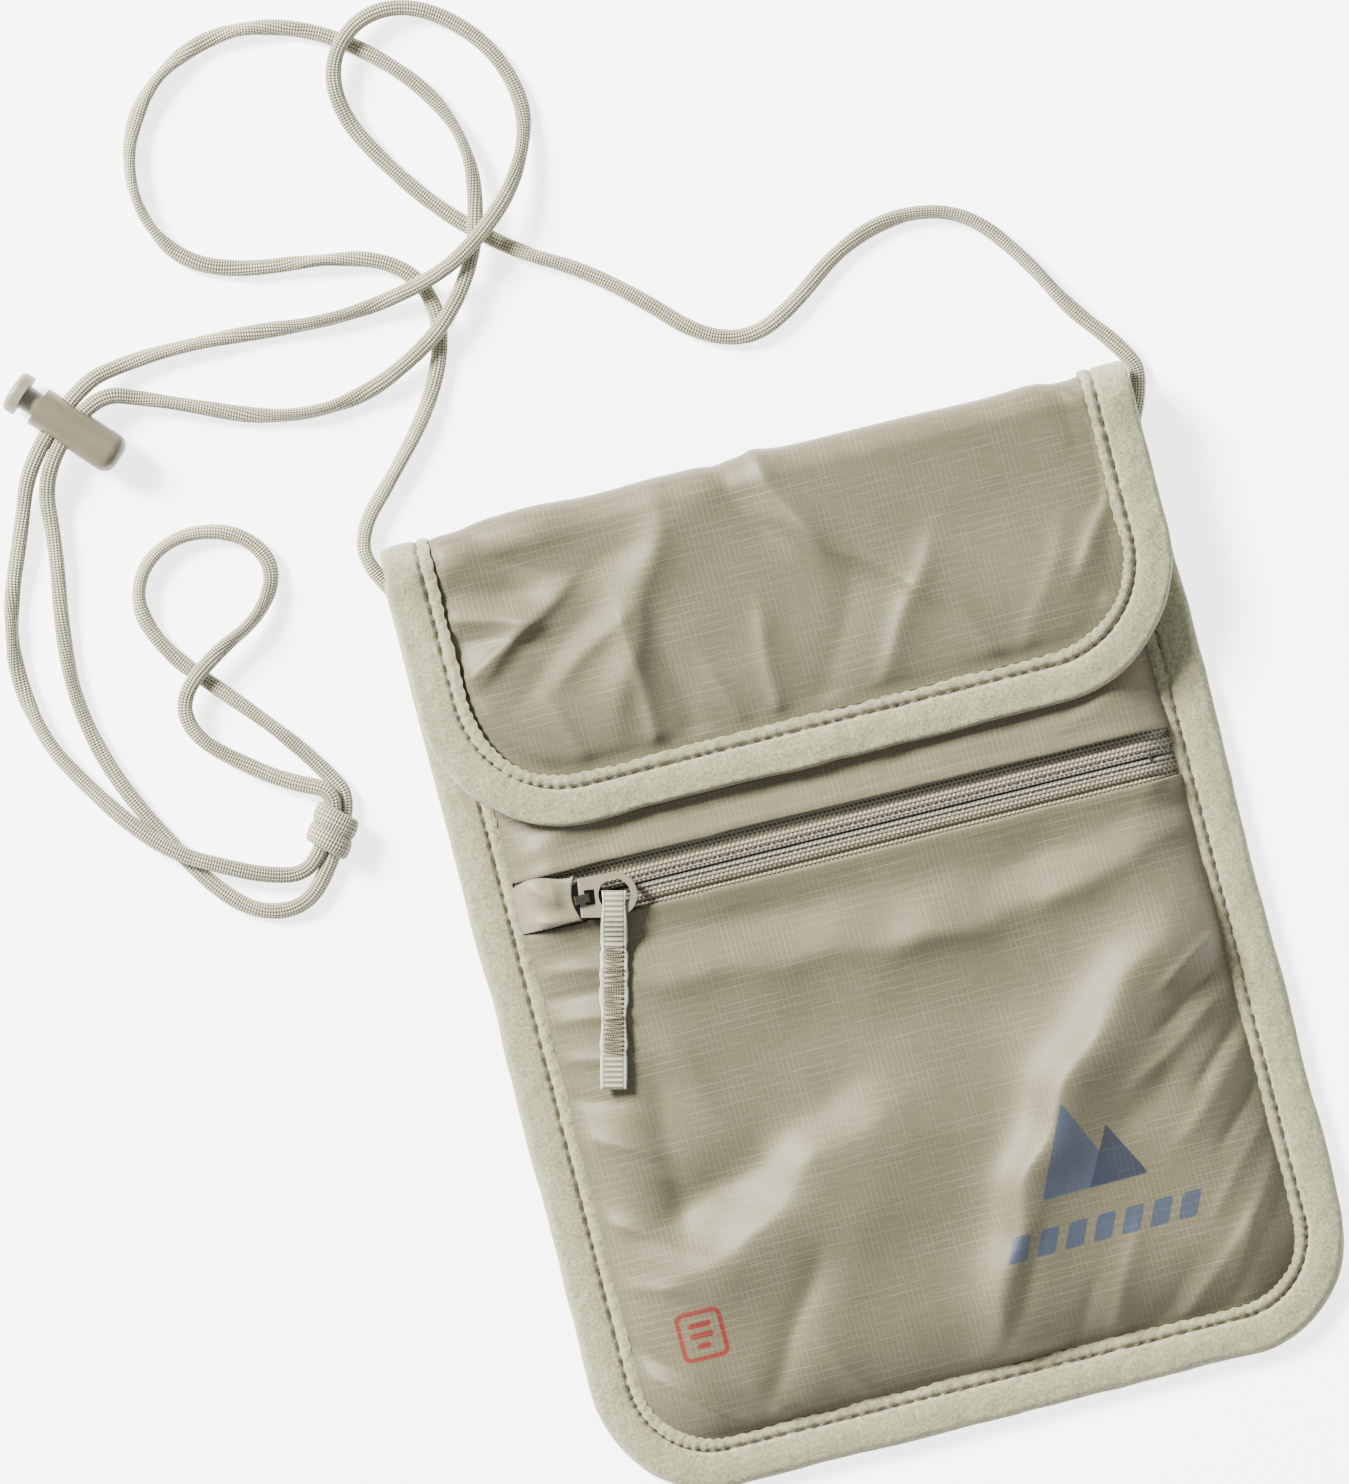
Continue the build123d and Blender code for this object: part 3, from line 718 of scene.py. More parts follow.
def lower_panel():
    """Printed front cloth below the zip."""
    rows = hem_rows(np.arange(-83.0, 15.0, CLOTH_STEP) - 15.6)
    x = np.arange(-CLOTH_HALF, CLOTH_HALF + 0.1, CLOTH_STEP)
    y = np.array([r[0] for r in rows])
    dz = np.array([r[1] for r in rows])
    gx, gy = np.meshgrid(x, y)
    edge = zip_line(gx) - 4.25 + 0.12 * noise_1d(gx + 300, 8, 4.0)
    wy = edge + gy
    high = front_height(gx, np.minimum(wy, edge - HEM_ROLL))
    stitch = -0.07 * np.exp(-(((gy + 2.0) / 0.5) ** 2))
    hem = 0.16 * smooth((gy + 2.6) / 1.0)
    z = high + hem + stitch + dz[:, None]
    points = np.stack([gx, wy, z], -1)
    uv = np.stack([gx, wy], -1)
    keep = (inside(gx, wy, INNER_HALF, INNER_BOTTOM, INNER_CORNER) > -1.6).ravel()
    inks = {"ink_slate": slate_ink(gx, wy), "ink_navy": navy_ink(gx, wy), "ink_red": red_ink(gx, wy)}
    obj = grid_object("front_lower_cloth", points, uv, ripstop_printed, keep=keep, attributes=inks)
    thicken(obj, 0.3)
    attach(obj, "pouch")
    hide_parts("front_lower_panel")


UPPER_HEM_Y = 25.6


def upper_panel():
    """Front cloth from the zip's upper hem to the mouth of the pouch."""
    x = np.arange(-CLOTH_HALF, CLOTH_HALF + 0.1, CLOTH_STEP)
    lower = [(-y, dz) for y, dz in reversed(hem_rows([]))]
    body = [(y, 0.0) for y in np.arange(0.9, MOUTH_Y - UPPER_HEM_Y - 0.8, CLOTH_STEP)]
    upper = [(MOUTH_Y - UPPER_HEM_Y + y, dz) for y, dz in hem_rows([])]
    rows = lower + body + upper
    y = np.array([r[0] for r in rows])
    dz = np.array([r[1] for r in rows])
    gx, gy = np.meshgrid(x, y)
    share = np.clip(1 - gy / 20, 0, 1)
    hem_line = zip_line(gx) + 5.05 - 0.006 * gx
    edge = (hem_line - UPPER_HEM_Y + 0.15 * noise_1d(gx + 300, 18, 5.0)) * share + UPPER_HEM_Y
    wy = edge + gy
    high = front_height(gx, np.clip(wy, edge + HEM_ROLL, MOUTH_Y - HEM_ROLL))
    hem = 0.16 * smooth((2.6 - gy) / 1.0) - 0.07 * np.exp(-(((gy - 2.0) / 0.5) ** 2))
    hem = hem + 0.8 * (1 - smooth(gy / 9)) * smooth((61 - np.abs(gx)) / 12)
    z = high + hem + dz[:, None]
    points = np.stack([gx, wy, z], -1)
    obj = grid_object("front_upper_cloth", points, np.stack([gx, wy], -1), ripstop)
    thicken(obj, 0.3)
    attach(obj, "pouch")
    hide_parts("front_upper_panel")


lower_panel()
upper_panel()

# ---------------------------------------------------------------- zip


def zip_tape(name, side):
    """One half of the zip: knitted tape with a raised ridge where it folds over the coil."""
    x = np.arange(-62.4, 62.5, 0.4)
    v = np.concatenate([np.linspace(0.09, 4.0, 32), np.linspace(4.3, 6.3, 7)])
    gx, gv = np.meshgrid(x, v)
    ridge = 0.75 * np.sqrt(np.clip(1 - ((gv - 1.6) / 1.52) ** 6, 0, 1))
    ridge = np.maximum(ridge, 0.3 * smooth((gv - 3.3) / 0.5))
    groove = -0.22 * np.exp(-(((gv - TAPE_HOLES_OFF) / 0.18) ** 2))
    wave = 0.07 * noise_2d(gx + 200, gv + 20, 31 + side, 3.0)
    z = tape_height(gx) - 0.75 + ridge + groove + wave
    y = zip_line(gx) + side * gv
    points = np.stack([gx, y, z], -1)
    obj = grid_object(name, points, np.stack([gx, gv * side], -1), knit_tape, flip=side < 0)
    thicken(obj, 0.35)
    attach(obj, "pouch")
    half = "upper" if side > 0 else "lower"
    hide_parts(f"zip_tape_{half}", f"zip_coil_{half}")


for tape_name, tape_side in (("zip_tape_upper_cloth", 1), ("zip_tape_lower_cloth", -1)):
    zip_tape(tape_name, tape_side)

# ---------------------------------------------------------------- flap

FLAP_HALF = 69.5
FLAP_BOTTOM = 33.0
FLAP_CORNER = 26.0
FLAP_INNER_HALF = 61.0
FLAP_INNER_BOTTOM = 43.0
FLAP_INNER_CORNER = 18.0
ARC = 4.75
ARC_LENGTH = math.pi * ARC
FLAP_START = -6.0


def flap_place(x, s, out):
    """Point on the flap: s runs from the back, round the fold and down the front; out is off the cloth."""
    angle = np.clip(s / ARC, 0, math.pi) - math.pi / 2
    radius = ARC + out
    past = np.maximum(s - ARC_LENGTH, 0)
    before = np.minimum(s, 0)
    y = FOLD_Y + radius * np.cos(angle) - past + before
    z = FOLD_Z + radius * np.sin(angle)
    return np.stack([x + 0 * z, y, z], -1)


def flap_s(y):
    """Distance along the flap of a place on its flat front."""
    return ARC_LENGTH + FOLD_Y - y


def flap_sag(x, s):
    """The flap eases down towards its free edges."""
    y = FOLD_Y - np.maximum(s - ARC_LENGTH, 0)
    depth = inside(x, y, FLAP_HALF, FLAP_BOTTOM, FLAP_CORNER)
    flat = smooth((s - ARC_LENGTH) / 8)
    return -0.9 * flat * (1 - smooth(depth / 16))


def flap_cloth():
    """Outer cloth of the flap, with its creases."""
    x = np.arange(-63.0, 63.1, CLOTH_STEP)
    s = np.arange(FLAP_START, flap_s(FLAP_INNER_BOTTOM - 2), CLOTH_STEP)
    gx, gs = np.meshgrid(x, s)
    y = FOLD_Y - np.maximum(gs - ARC_LENGTH, 0)
    depth = inside(gx, y, FLAP_INNER_HALF, FLAP_INNER_BOTTOM, FLAP_INNER_CORNER)
    swell = 0.4 * noise_2d(gx + 200, gs + 100, 41, 24.0) + 0.18 * noise_2d(gx + 200, gs + 100, 42, 8.0)
    crease_y = np.where(gs > ARC_LENGTH, y, FOLD_Y + 2 * (ARC_LENGTH - gs) / ARC)
    creases = 1.25 * wrinkles(gx, crease_y, FLAP_FOLDS)
    puff = 1.0 * (1 - (1 - np.clip(depth / 13, 0, 1)) ** 2)
    basin = -0.9 * smooth((gx - 10) / 46) * smooth((y - 50) / 18)
    crown = 0.45 * np.exp(-(((gs - ARC_LENGTH / 2) / 5) ** 2))
    fade = smooth((gs - 3) / 8)
    loose = (swell + creases + basin) * smooth(depth / 3 + 0.1)
    out = np.maximum((loose + puff) * fade + crown - 0.15, -0.5) + flap_sag(gx, gs)
    points = flap_place(gx, gs, out)
    uv = np.stack([gx, gs], -1)
    keep = (depth > -1.6).ravel()
    obj = grid_object("flap_cloth", points, uv, ripstop, keep=keep, flip=True)
    thicken(obj, 0.3)
    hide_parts("flap_shell", "flap_yoke")
    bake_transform(obj)


def flap_lining():
    """Inner cloth of the flap."""
    step = 2 * CLOTH_STEP
    x = np.arange(-67.0, 67.1, step)
    s = np.arange(FLAP_START, flap_s(FLAP_BOTTOM + 2), step)
    gx, gs = np.meshgrid(x, s)
    y = FOLD_Y - np.maximum(gs - ARC_LENGTH, 0)
    depth = inside(gx, y, FLAP_HALF - 2, FLAP_BOTTOM + 2, FLAP_CORNER - 2)
    out = -0.95 + flap_sag(gx, gs) + 0.06 * noise_2d(gx + 200, gs + 100, 44, 7.0)
    points = flap_place(gx, gs, out)
    keep = (depth > 0).ravel()
    obj = grid_object("flap_lining_cloth", points, np.stack([gx, gs], -1), lining_cloth, keep=keep)
    thicken(obj, 0.2)
    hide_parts("flap_lining")
    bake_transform(obj)


flap_cloth()
flap_lining()

# ---------------------------------------------------------------- binding bands


def u_path(half, bottom, corner, top, step):
    """Points and inward normals down the left, round the bottom and up the right of a U outline."""
    side = top - (bottom + corner)
    arc = corner * math.pi / 2
    across = 2 * (half - corner)
    total = 2 * side + 2 * arc + across
    distance_along = np.linspace(0, total, int(total / step) + 1)
    points, normals = [], []
    for d in distance_along:
        if d <= side:
            points.append((-half, top - d))
            normals.append((1, 0))
        elif d <= side + arc:
            a = (d - side) / corner
            points.append((-half + corner - corner * math.cos(a), bottom + corner - corner * math.sin(a)))
            normals.append((math.cos(a), math.sin(a)))
        elif d <= side + arc + across:
            points.append((-half + corner + d - side - arc, bottom))
            normals.append((0, 1))
        elif d <= side + 2 * arc + across:
            a = (d - side - arc - across) / corner
            points.append((half - corner + corner * math.sin(a), bottom + corner - corner * math.cos(a)))
            normals.append((-math.sin(a), math.cos(a)))
        else:
            points.append((half, bottom + corner + d - side - 2 * arc - across))
            normals.append((-1, 0))
    return distance_along, np.array(points), np.array(normals)


STITCH_PITCH = 2.65
LIP = 2.3
BODY_BAND = 9.2
BODY_BAND_TOP = 2.95
BODY_BAND_SEED = 61
FLAP_BAND = 9.0
FLAP_BAND_TOP = 0.85
FLAP_BAND_SEED = 81


def body_path():
    """Way of the body's binding round the pouch."""
    return u_path(HALF_WIDTH, -HALF_HEIGHT, CORNER, FOLD_Y, 0.42)


def flap_path():
    """Way of the flap's binding, laid out flat in the flap's own sheet."""
    return u_path(FLAP_HALF, -flap_s(FLAP_BOTTOM), FLAP_CORNER, 0.0, 0.42)


def band_profile(width, top, bottom, edge):
    """Section of a folded binding from its top lip out round the edge and back under.

    Each point is its distance in from the pouch's edge and its height.
    """
    middle = (top + bottom) / 2
    half = (top - bottom) / 2
    rows = []
    for c in np.concatenate([np.linspace(width, width - 0.35, 3), np.linspace(width - 0.6, edge, 30)]):
        rows.append((c, top))
    for angle in np.radians(np.linspace(80, -80, 11)):
        rows.append((edge - edge * math.cos(angle), middle + half * math.sin(angle)))
    for c in np.linspace(edge, width, 10):
        rows.append((c, bottom))
    return np.array(rows)


def band_points(distance_along, profile, width, top, seed):
    """Puffs, stitch dimples, a scalloped lip and slack waves over a band's section."""
    d = distance_along[:, None]
    c = profile[None, :, 0] + 0 * d
    z = profile[None, :, 1] + 0 * d
    upper = (profile[:, 1] > top - 0.3)[None, :]
    from_lip = width - c
    phase = (d / STITCH_PITCH + 0.35 * noise_1d(d + 50, seed, 6.0)) % 1.0
    hole = np.exp(-(((phase - 0.5) * STITCH_PITCH / 0.7) ** 4))
    seam = np.exp(-(((from_lip - LIP) / 0.38) ** 2))
    puff = 0.42 * np.exp(-(((from_lip - 5.2) / 2.4) ** 2))
    lip_puff = 0.26 * np.exp(-(((from_lip - 1.0) / 0.7) ** 2)) * (0.8 + 0.3 * np.cos(2 * math.pi * phase))
    slack = 0.16 * noise_2d(d + 100, from_lip + 40, seed + 1, 5.0)
    slack = slack + 0.1 * noise_2d(d + 100, from_lip + 40, seed + 2, 2.2)
    lift = puff + lip_puff + slack - seam * (0.4 + 0.45 * hole)
    z = z + np.where(upper, lift, 0.0)
    near_lip = np.exp(-(((from_lip) / 0.9) ** 2))
    wander = 0.13 * np.cos(2 * math.pi * phase) + 0.3 * noise_1d(d + 80, seed + 3, 7.0)
    c = c - np.where(upper, near_lip * wander, 0.0)
    rim = 0.25 * noise_1d(d + 90, seed + 4, 14.0) + 0.1 * noise_1d(d + 90, seed + 5, 4.0)
    c = c + rim * smooth((from_lip - width + 3) / 3)
    return c, z


def body_binding():
    """Folded binding round the pouch."""
    d, path, normal = body_path()
    profile = band_profile(BODY_BAND, BODY_BAND_TOP, 0.0, 1.7)
    c, z = band_points(d, profile, BODY_BAND, BODY_BAND_TOP, BODY_BAND_SEED)
    x = path[:, 0, None] + normal[:, 0, None] * c
    y = path[:, 1, None] + normal[:, 1, None] * c
    points = np.stack([x, y, np.maximum(z, 0.0)], -1)
    uv = np.stack([d[:, None] + 0 * c, c], -1)
    obj = grid_object("body_binding_tape", points, uv, suede)
    thicken(obj, 0.45)
    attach(obj, "pouch")
    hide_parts("body_binding")


def flap_binding():
    """Folded binding round the flap; it is kept thin where it goes round the fold to the back."""
    d, path, normal = flap_path()
    profile = band_profile(FLAP_BAND, FLAP_BAND_TOP, -1.2, 1.1)
    c, out = band_points(d, profile, FLAP_BAND, FLAP_BAND_TOP, FLAP_BAND_SEED)
    x = path[:, 0, None] + normal[:, 0, None] * c
    s = -(path[:, 1, None] + normal[:, 1, None] * c)
    out = np.where(s < ARC_LENGTH, np.minimum(out, FLAP_BAND_TOP + 0.25), out)
    points = flap_place(x, s, out + flap_sag(x, s))
    uv = np.stack([d[:, None] + 0 * c, c], -1)
    obj = grid_object("flap_binding_tape", points, uv, suede)
    thicken(obj, 0.4)
    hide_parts("flap_binding")
    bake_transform(obj)


body_binding()
flap_binding()


# ---------------------------------------------------------------- stitching


STITCH_LENGTH = 1.9
STITCH_RADIUS = 0.24
STITCH_RISE = 0.28


def stitch_mesh(name, places, directions, ups):
    """Many short bowed stitches as one mesh: each is a small slanted tube whose ends dive into the cloth."""
    rings, sides = 7, 6
    t = np.linspace(-1, 1, rings)
    angle = np.linspace(0, 2 * math.pi, sides, endpoint=False)
    places, directions, ups = (np.asarray(a, float) for a in (places, directions, ups))
    slant = 0.24 + 0.12 * noise_1d(np.arange(len(places)) + 20, 151, 3.0)
    directions = directions + slant[:, None] * np.cross(ups, directions)
    side = np.cross(ups, directions)
    swell = np.sqrt(np.clip(1 - np.abs(t) ** 3, 0.05, 1)) * STITCH_RADIUS
    along = t[None, :, None, None] * directions[:, None, None, :] * STITCH_LENGTH / 2
    bow = (0.28 * (1 - t**2) - 0.12)[None, :, None, None] * ups[:, None, None, :]
    around = (
        np.cos(angle)[None, None, :, None] * side[:, None, None, :]
        + np.sin(angle)[None, None, :, None] * ups[:, None, None, :]
    ) * swell[None, :, None, None]
    points = places[:, None, None, :] + along + bow + around
    count = len(places)
    one = grid_faces(rings, sides, wrap=True)
    faces = (one[None] + (np.arange(count) * rings * sides)[:, None, None]).reshape(-1, 4)
    uv = np.zeros((count, rings, sides, 2))
    uv[..., 0] = t[None, :, None] * STITCH_LENGTH
    uv[..., 1] = angle[None, None, :] * STITCH_RADIUS
    return make_object(name, points.reshape(-1, 3), faces, uv.reshape(-1, 2), thread)


def seam_spots(total):
    """Places of the stitches along a band, in step with its dimples."""
    return np.arange(STITCH_PITCH, total - STITCH_PITCH, STITCH_PITCH)


def wandering(spots, seed):
    """The same slow drift of the dimples that the band has."""
    return spots - 0.35 * STITCH_PITCH * noise_1d(spots + 50, seed, 6.0)


def body_stitches():
    """Stitches along the body's binding."""
    d, path, normal = body_path()
    spots = wandering(seam_spots(d[-1]), BODY_BAND_SEED)
    c = BODY_BAND - LIP
    x = np.interp(spots, d, path[:, 0] + normal[:, 0] * c)
    y = np.interp(spots, d, path[:, 1] + normal[:, 1] * c)
    nx = np.interp(spots, d, normal[:, 0])
    ny = np.interp(spots, d, normal[:, 1])
    places = np.stack([x, y, np.full_like(x, 2.4)], -1)
    directions = np.stack([-ny, nx, 0 * nx], -1)
    directions /= np.linalg.norm(directions, axis=1, keepdims=True)
    ups = np.tile([0.0, 0.0, 1.0], (len(spots), 1))
    obj = stitch_mesh("body_stitches", places, directions, ups)
    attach(obj, "pouch")
    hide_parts("body_stitching")


def flap_stitches():
    """Stitches along the flap's binding."""
    d, path, normal = flap_path()
    spots = wandering(seam_spots(d[-1]), FLAP_BAND_SEED)
    c = FLAP_BAND - LIP
    x = np.interp(spots, d, path[:, 0] + normal[:, 0] * c)
    s = -np.interp(spots, d, path[:, 1] + normal[:, 1] * c)
    out = STITCH_RISE + flap_sag(x, s)
    places = flap_place(x, s, out)
    ups = flap_place(x, s, out + 1) - places
    beyond = spots + 0.3
    x2 = np.interp(beyond, d, path[:, 0] + normal[:, 0] * c)
    s2 = -np.interp(beyond, d, path[:, 1] + normal[:, 1] * c)
    directions = flap_place(x2, s2, STITCH_RISE + flap_sag(x2, s2)) - places
    directions /= np.linalg.norm(directions, axis=1, keepdims=True)
    obj = stitch_mesh("flap_stitches", places, directions, ups)
    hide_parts("flap_stitching")
    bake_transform(obj)


body_stitches()
flap_stitches()

# ---------------------------------------------------------------- garage tab, closure patches, inner layers


TAB_LEFT = -61.6
TAB_EDGE = -51.0
TAB_BOTTOM = 16.3


def garage_tab():
    """Folded cloth tab over the closed end of the zip, with a curved free edge that rolls under."""
    roll = 0.3
    turn = np.radians([0, 30, 60, 90, 120, 150, 180])
    flat = np.arange(-11.6, -roll, 0.4)
    u = np.concatenate([flat, -roll + roll * np.sin(turn)])
    drop = np.concatenate([np.zeros(len(flat)), -roll + roll * np.cos(turn)])
    gu, gv = np.meshgrid(u, np.linspace(-1, 1, 28))
    x = TAB_EDGE + 1.0 * gv**2 + 0.2 * gv + gu
    top = 24.9 + 0.9 * np.sin((x + 61.5) * 0.42) + 0.05 * (x + 56)
    y = TAB_BOTTOM + (top - TAB_BOTTOM) * (gv + 1) / 2
    rise = 1 - (1 - np.clip((x - TAB_LEFT) / 5.8, 0, 1)) ** 2.2
    rim = 0.35 * np.exp(-(((1 - np.abs(gv)) / 0.12) ** 2))
    soft = 0.3 * noise_2d(x + 200, y + 200, 91, 4.2)
    soft = soft + fold(x, y, (-59.5, 24.5), (-55.5, 21.5), 1.6, 1.1, 0.5)
    soft = soft + fold(x, y, (-60, 18), (-56, 17), 1.3, 0.8, 0.5)
    free = smooth((x + 61.5) / 3) * smooth((-51.5 - x) / 3)
    lip = 0.13 * np.maximum(x + 56.5, 0)
    z = 2.7 + 6.75 * rise - rim + soft * free + lip + drop[None, :]
    obj = grid_object("garage_tab_cloth", np.stack([x, y, z], -1), np.stack([x, y], -1), ripstop_tab)
    thicken(obj, 0.32)
    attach(obj, "pouch")
    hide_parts("zip_garage_tab")


def closure_patch(name, node, body, base, thickness, seed, material):
    """Rectangle of hook or loop pile with a soft, fuzzy surface and rounded corners."""
    x = np.arange(-30.0, 30.01, 0.5)
    y = np.arange(48.0, 62.01, 0.5)
    gx, gy = np.meshgrid(x, y)
    edge = -box_distance(gx, gy, (0, 55), (30, 7), 2)
    z = base(gx, gy) + thickness * np.sqrt(smooth(edge / 0.7)) + 0.08 * noise_2d(gx + 100, gy, seed, 0.7)
    keep = (edge > -0.2).ravel()
    obj = grid_object(name, np.stack([gx, gy, z], -1), np.stack([gx, gy], -1), material, keep=keep)
    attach(obj, body)
    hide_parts(node)


def inner_sheet(name, node, height, top, material, flip=False, thickness=0.25):
    """A flat or pillow-shaped layer of the pouch whose edges are held in the binding."""
    step = 1.2
    x = np.arange(-69.0, 69.1, step)
    y = np.arange(-89.0, top, step)
    gx, gy = np.meshgrid(x, y)
    keep = (inside(gx, gy, 68.4, -88.4, 20.4) > 0).ravel()
    points = np.stack([gx, gy, height(gx, gy)], -1)
    obj = grid_object(name, points, np.stack([gx, gy], -1), material, keep=keep, flip=flip)
    thicken(obj, thickness)
    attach(obj, "pouch")
    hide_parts(node)


def divider_height(x, y):
    """Divider behind the zip pocket, which follows the front from below."""
    above, _ = front_pillow(x, y)
    return 1.75 + 0.72 * (above - EDGE_Z) + 0.08 * noise_2d(x + 200, y + 200, 95, 14.0)


def liner_height(x, y):
    """Nearly flat liner on the back panel."""
    return 1.46 + 0.04 * noise_2d(x + 200, y + 200, 96, 9.0)


def back_height(x, y):
    """Outside of the back, which bellies down to the surface inside the binding."""
    depth = inside(x, y, INNER_HALF, INNER_BOTTOM, INNER_CORNER)
    soft = 0.1 * noise_2d(x + 200, y + 200, 97, 11.0) + 0.05 * noise_2d(x + 200, y + 200, 98, 4.0)
    return 0.16 + 0.45 * (1 - smooth(depth / 4.0)) + np.maximum(soft, -0.14) * smooth(depth / 5.0)


garage_tab()
loop_pile = plain_cloth_material("loop_pile", (150, 144, 124), 0.9)
hook_pile = plain_cloth_material("hook_pile", (136, 130, 112), 1.2)
closure_patch(
    "loop_pad", "loop_patch", "pouch", lambda x, y: front_height(x, y) + 0.05, 0.55, 101, loop_pile
)
closure_patch("hook_pad", "hook_patch", "flap", lambda x, y: 9.45 + 0 * x, -0.4, 102, hook_pile)
DIVIDER_TOP = MOUTH_Y + 0.6
BACK_TOP = FOLD_Y + 0.4
inner_sheet(
    "divider_cloth", "pocket_divider", divider_height, DIVIDER_TOP, lining_cloth
)
inner_sheet("liner_cloth", "back_liner", liner_height, BACK_TOP, lining_cloth)
inner_sheet(
    "back_cloth",
    "back_panel",
    back_height,
    BACK_TOP,
    back_cloth,
    flip=True,
    thickness=0.7,
)

# ---------------------------------------------------------------- pull ribbon

RIBBON_TOP = np.array([-43.3, 20.2])
RIBBON_DIRECTION = np.array([-0.249, -0.968]) / math.hypot(0.249, 0.968)
RIBBON_SIDE = np.array([-RIBBON_DIRECTION[1], RIBBON_DIRECTION[0]])
RIBBON_HALF = 2.4
RIBBON_LENGTH = 36.0


def ribbon_bed(u):
    """Height on which the ribbon lies, along its length."""
    spot = RIBBON_TOP[None, :] + u[:, None] * RIBBON_DIRECTION[None, :]
    under = [spot + side * RIBBON_SIDE for side in (-2.0, 0.0, 2.0)]
    bed = np.maximum.reduce([front_height(line[:, 0], line[:, 1]) for line in under])
    return np.maximum(bed + 0.4, 8.75) + 0.3 * (1 - smooth((u - 5) / 8))


def ribbon_line():
    """The folded ribbon from its side: under the ring, up through it and back down, as (along, height)."""
    low = np.arange(RIBBON_LENGTH, 2.0, -0.3)
    turn = np.radians(np.linspace(-90, 90, 13))
    top = np.arange(1.4, RIBBON_LENGTH + 0.01, 0.3)
    lower = np.stack([low, ribbon_bed(low)], -1)
    start = lower[-1, 1]
    arch = np.stack([1.4 - 1.1 * np.cos(turn), 9.95 + 0.9 * np.sin(turn)], -1)
    arch[:, 1] += (start - 9.05) * (1 - np.sin(turn)) / 2
    over = 10.85 - (10.85 - ribbon_bed(top) - 0.45) * smooth((top - 4.6) / 5.0)
    return np.concatenate([lower, arch, np.stack([top, over], -1)[1:]])


def pull_ribbon():
    """Ribbed ribbon, folded through the ring."""
    line = ribbon_line()
    steps = np.linalg.norm(np.diff(line, axis=0), axis=1)
    length = np.concatenate([[0], np.cumsum(steps)])
    side = np.linspace(-1, 1, 15)
    tack = smooth((line[:, 0] - 9) / 2) * smooth((31 - line[:, 0]) / 2)
    half = RIBBON_HALF + tack * 0.22 * noise_1d(line[:, 0] + 20, 111, 1.6)
    half = half + 0.06 * noise_1d(length, 112, 3.0)
    pinch = 1 - 0.16 * np.exp(-(((line[:, 0] - 2.5) / 3.0) ** 2))
    across = side[None, :] * (half * pinch)[:, None]
    x = RIBBON_TOP[0] + line[:, 0, None] * RIBBON_DIRECTION[0] + across * RIBBON_SIDE[0]
    y = RIBBON_TOP[1] + line[:, 0, None] * RIBBON_DIRECTION[1] + across * RIBBON_SIDE[1]
    ribs = 0.05 * np.cos(length[:, None] * 2 * math.pi / RIB_PITCH) * (np.abs(side) < 0.72)
    crown = -0.16 * side[None, :] ** 2 + ribs
    z = line[:, 1, None] + crown + 0.1 * noise_2d(length[:, None] + 50, across + 20, 113, 4.0)
    uv = np.stack([length[:, None] + 0 * across, across], -1)
    obj = grid_object("pull_ribbon_tape", np.stack([x, y, z], -1), uv, grosgrain, flip=True)
    solid = obj.modifiers.new("thickness", "SOLIDIFY")
    solid.thickness = 0.34 * MM
    solid.offset = 0
    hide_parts("pull_ribbon")
    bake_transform(obj)


def ribbon_zigzag():
    """Close zigzag of thread that joins the ribbon's two layers."""
    strokes = 46
    t = np.linspace(0, strokes, strokes * 10 + 1)
    saw = 2 * np.abs((t % 2) - 1) - 1
    wide = 1.62 + 0.12 * noise_1d(t + 10, 121, 2.0)
    u = 10.2 + 19.6 * t / strokes + 0.18 * noise_1d(t + 10, 122, 3.0)
    w = np.sin(saw * math.pi / 2) * wide
    line = ribbon_line()
    upper = line[np.argmax(line[:, 1]):]
    z = np.interp(u, upper[:, 0], upper[:, 1]) + 0.24 - 0.16 * (w / RIBBON_HALF) ** 2
    centres = np.stack([
        RIBBON_TOP[0] + u * RIBBON_DIRECTION[0] + w * RIBBON_SIDE[0],
        RIBBON_TOP[1] + u * RIBBON_DIRECTION[1] + w * RIBBON_SIDE[1],
        z,
    ], -1)
    up = np.tile([0.0, 0.0, 1.0], (len(t), 1))
    obj = tube("ribbon_zigzag", centres, up, 0.2, 0.14, 6, zigzag_thread)
    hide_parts("ribbon_bartack")
    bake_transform(obj)


def tube(name, centres, ups, half_width, half_height, sides, material, squareness=1.0):
    """Oval tube along a line of points, wide across the up direction and thin along it, with closed ends."""
    centres = np.asarray(centres, float)
    tangent = np.gradient(centres, axis=0)
    tangent /= np.linalg.norm(tangent, axis=1, keepdims=True)
    side = np.cross(ups, tangent)
    side /= np.linalg.norm(side, axis=1, keepdims=True)
    up = np.cross(tangent, side)
    angle = np.linspace(0, 2 * math.pi, sides, endpoint=False)
    width = np.broadcast_to(half_width, len(centres))[:, None, None]
    height = np.broadcast_to(half_height, len(centres))[:, None, None]
    across = np.sign(np.cos(angle)) * np.abs(np.cos(angle)) ** squareness
    lift = np.sign(np.sin(angle)) * np.abs(np.sin(angle)) ** squareness
    ring = across[None, :, None] * side[:, None, :] * width + lift[None, :, None] * up[:, None, :] * height
    points = centres[:, None, :] + ring
    length = np.concatenate([[0], np.cumsum(np.linalg.norm(np.diff(centres, axis=0), axis=1))])
    mean = float(np.mean(width) + np.mean(height)) / 2
    vertices = points.reshape(-1, 3)
    count = len(centres)
    faces = list(grid_faces(count, sides, wrap=True)[:, ::-1])
    faces.append(list(range(sides)))
    faces.append(list(range((count - 1) * sides, count * sides))[::-1])
    uv = np.stack([length[:, None] + 0 * angle, mean * angle[None, :] + 0 * length[:, None]], -1)
    return make_object(name, vertices, faces, uv.reshape(-1, 2), material)


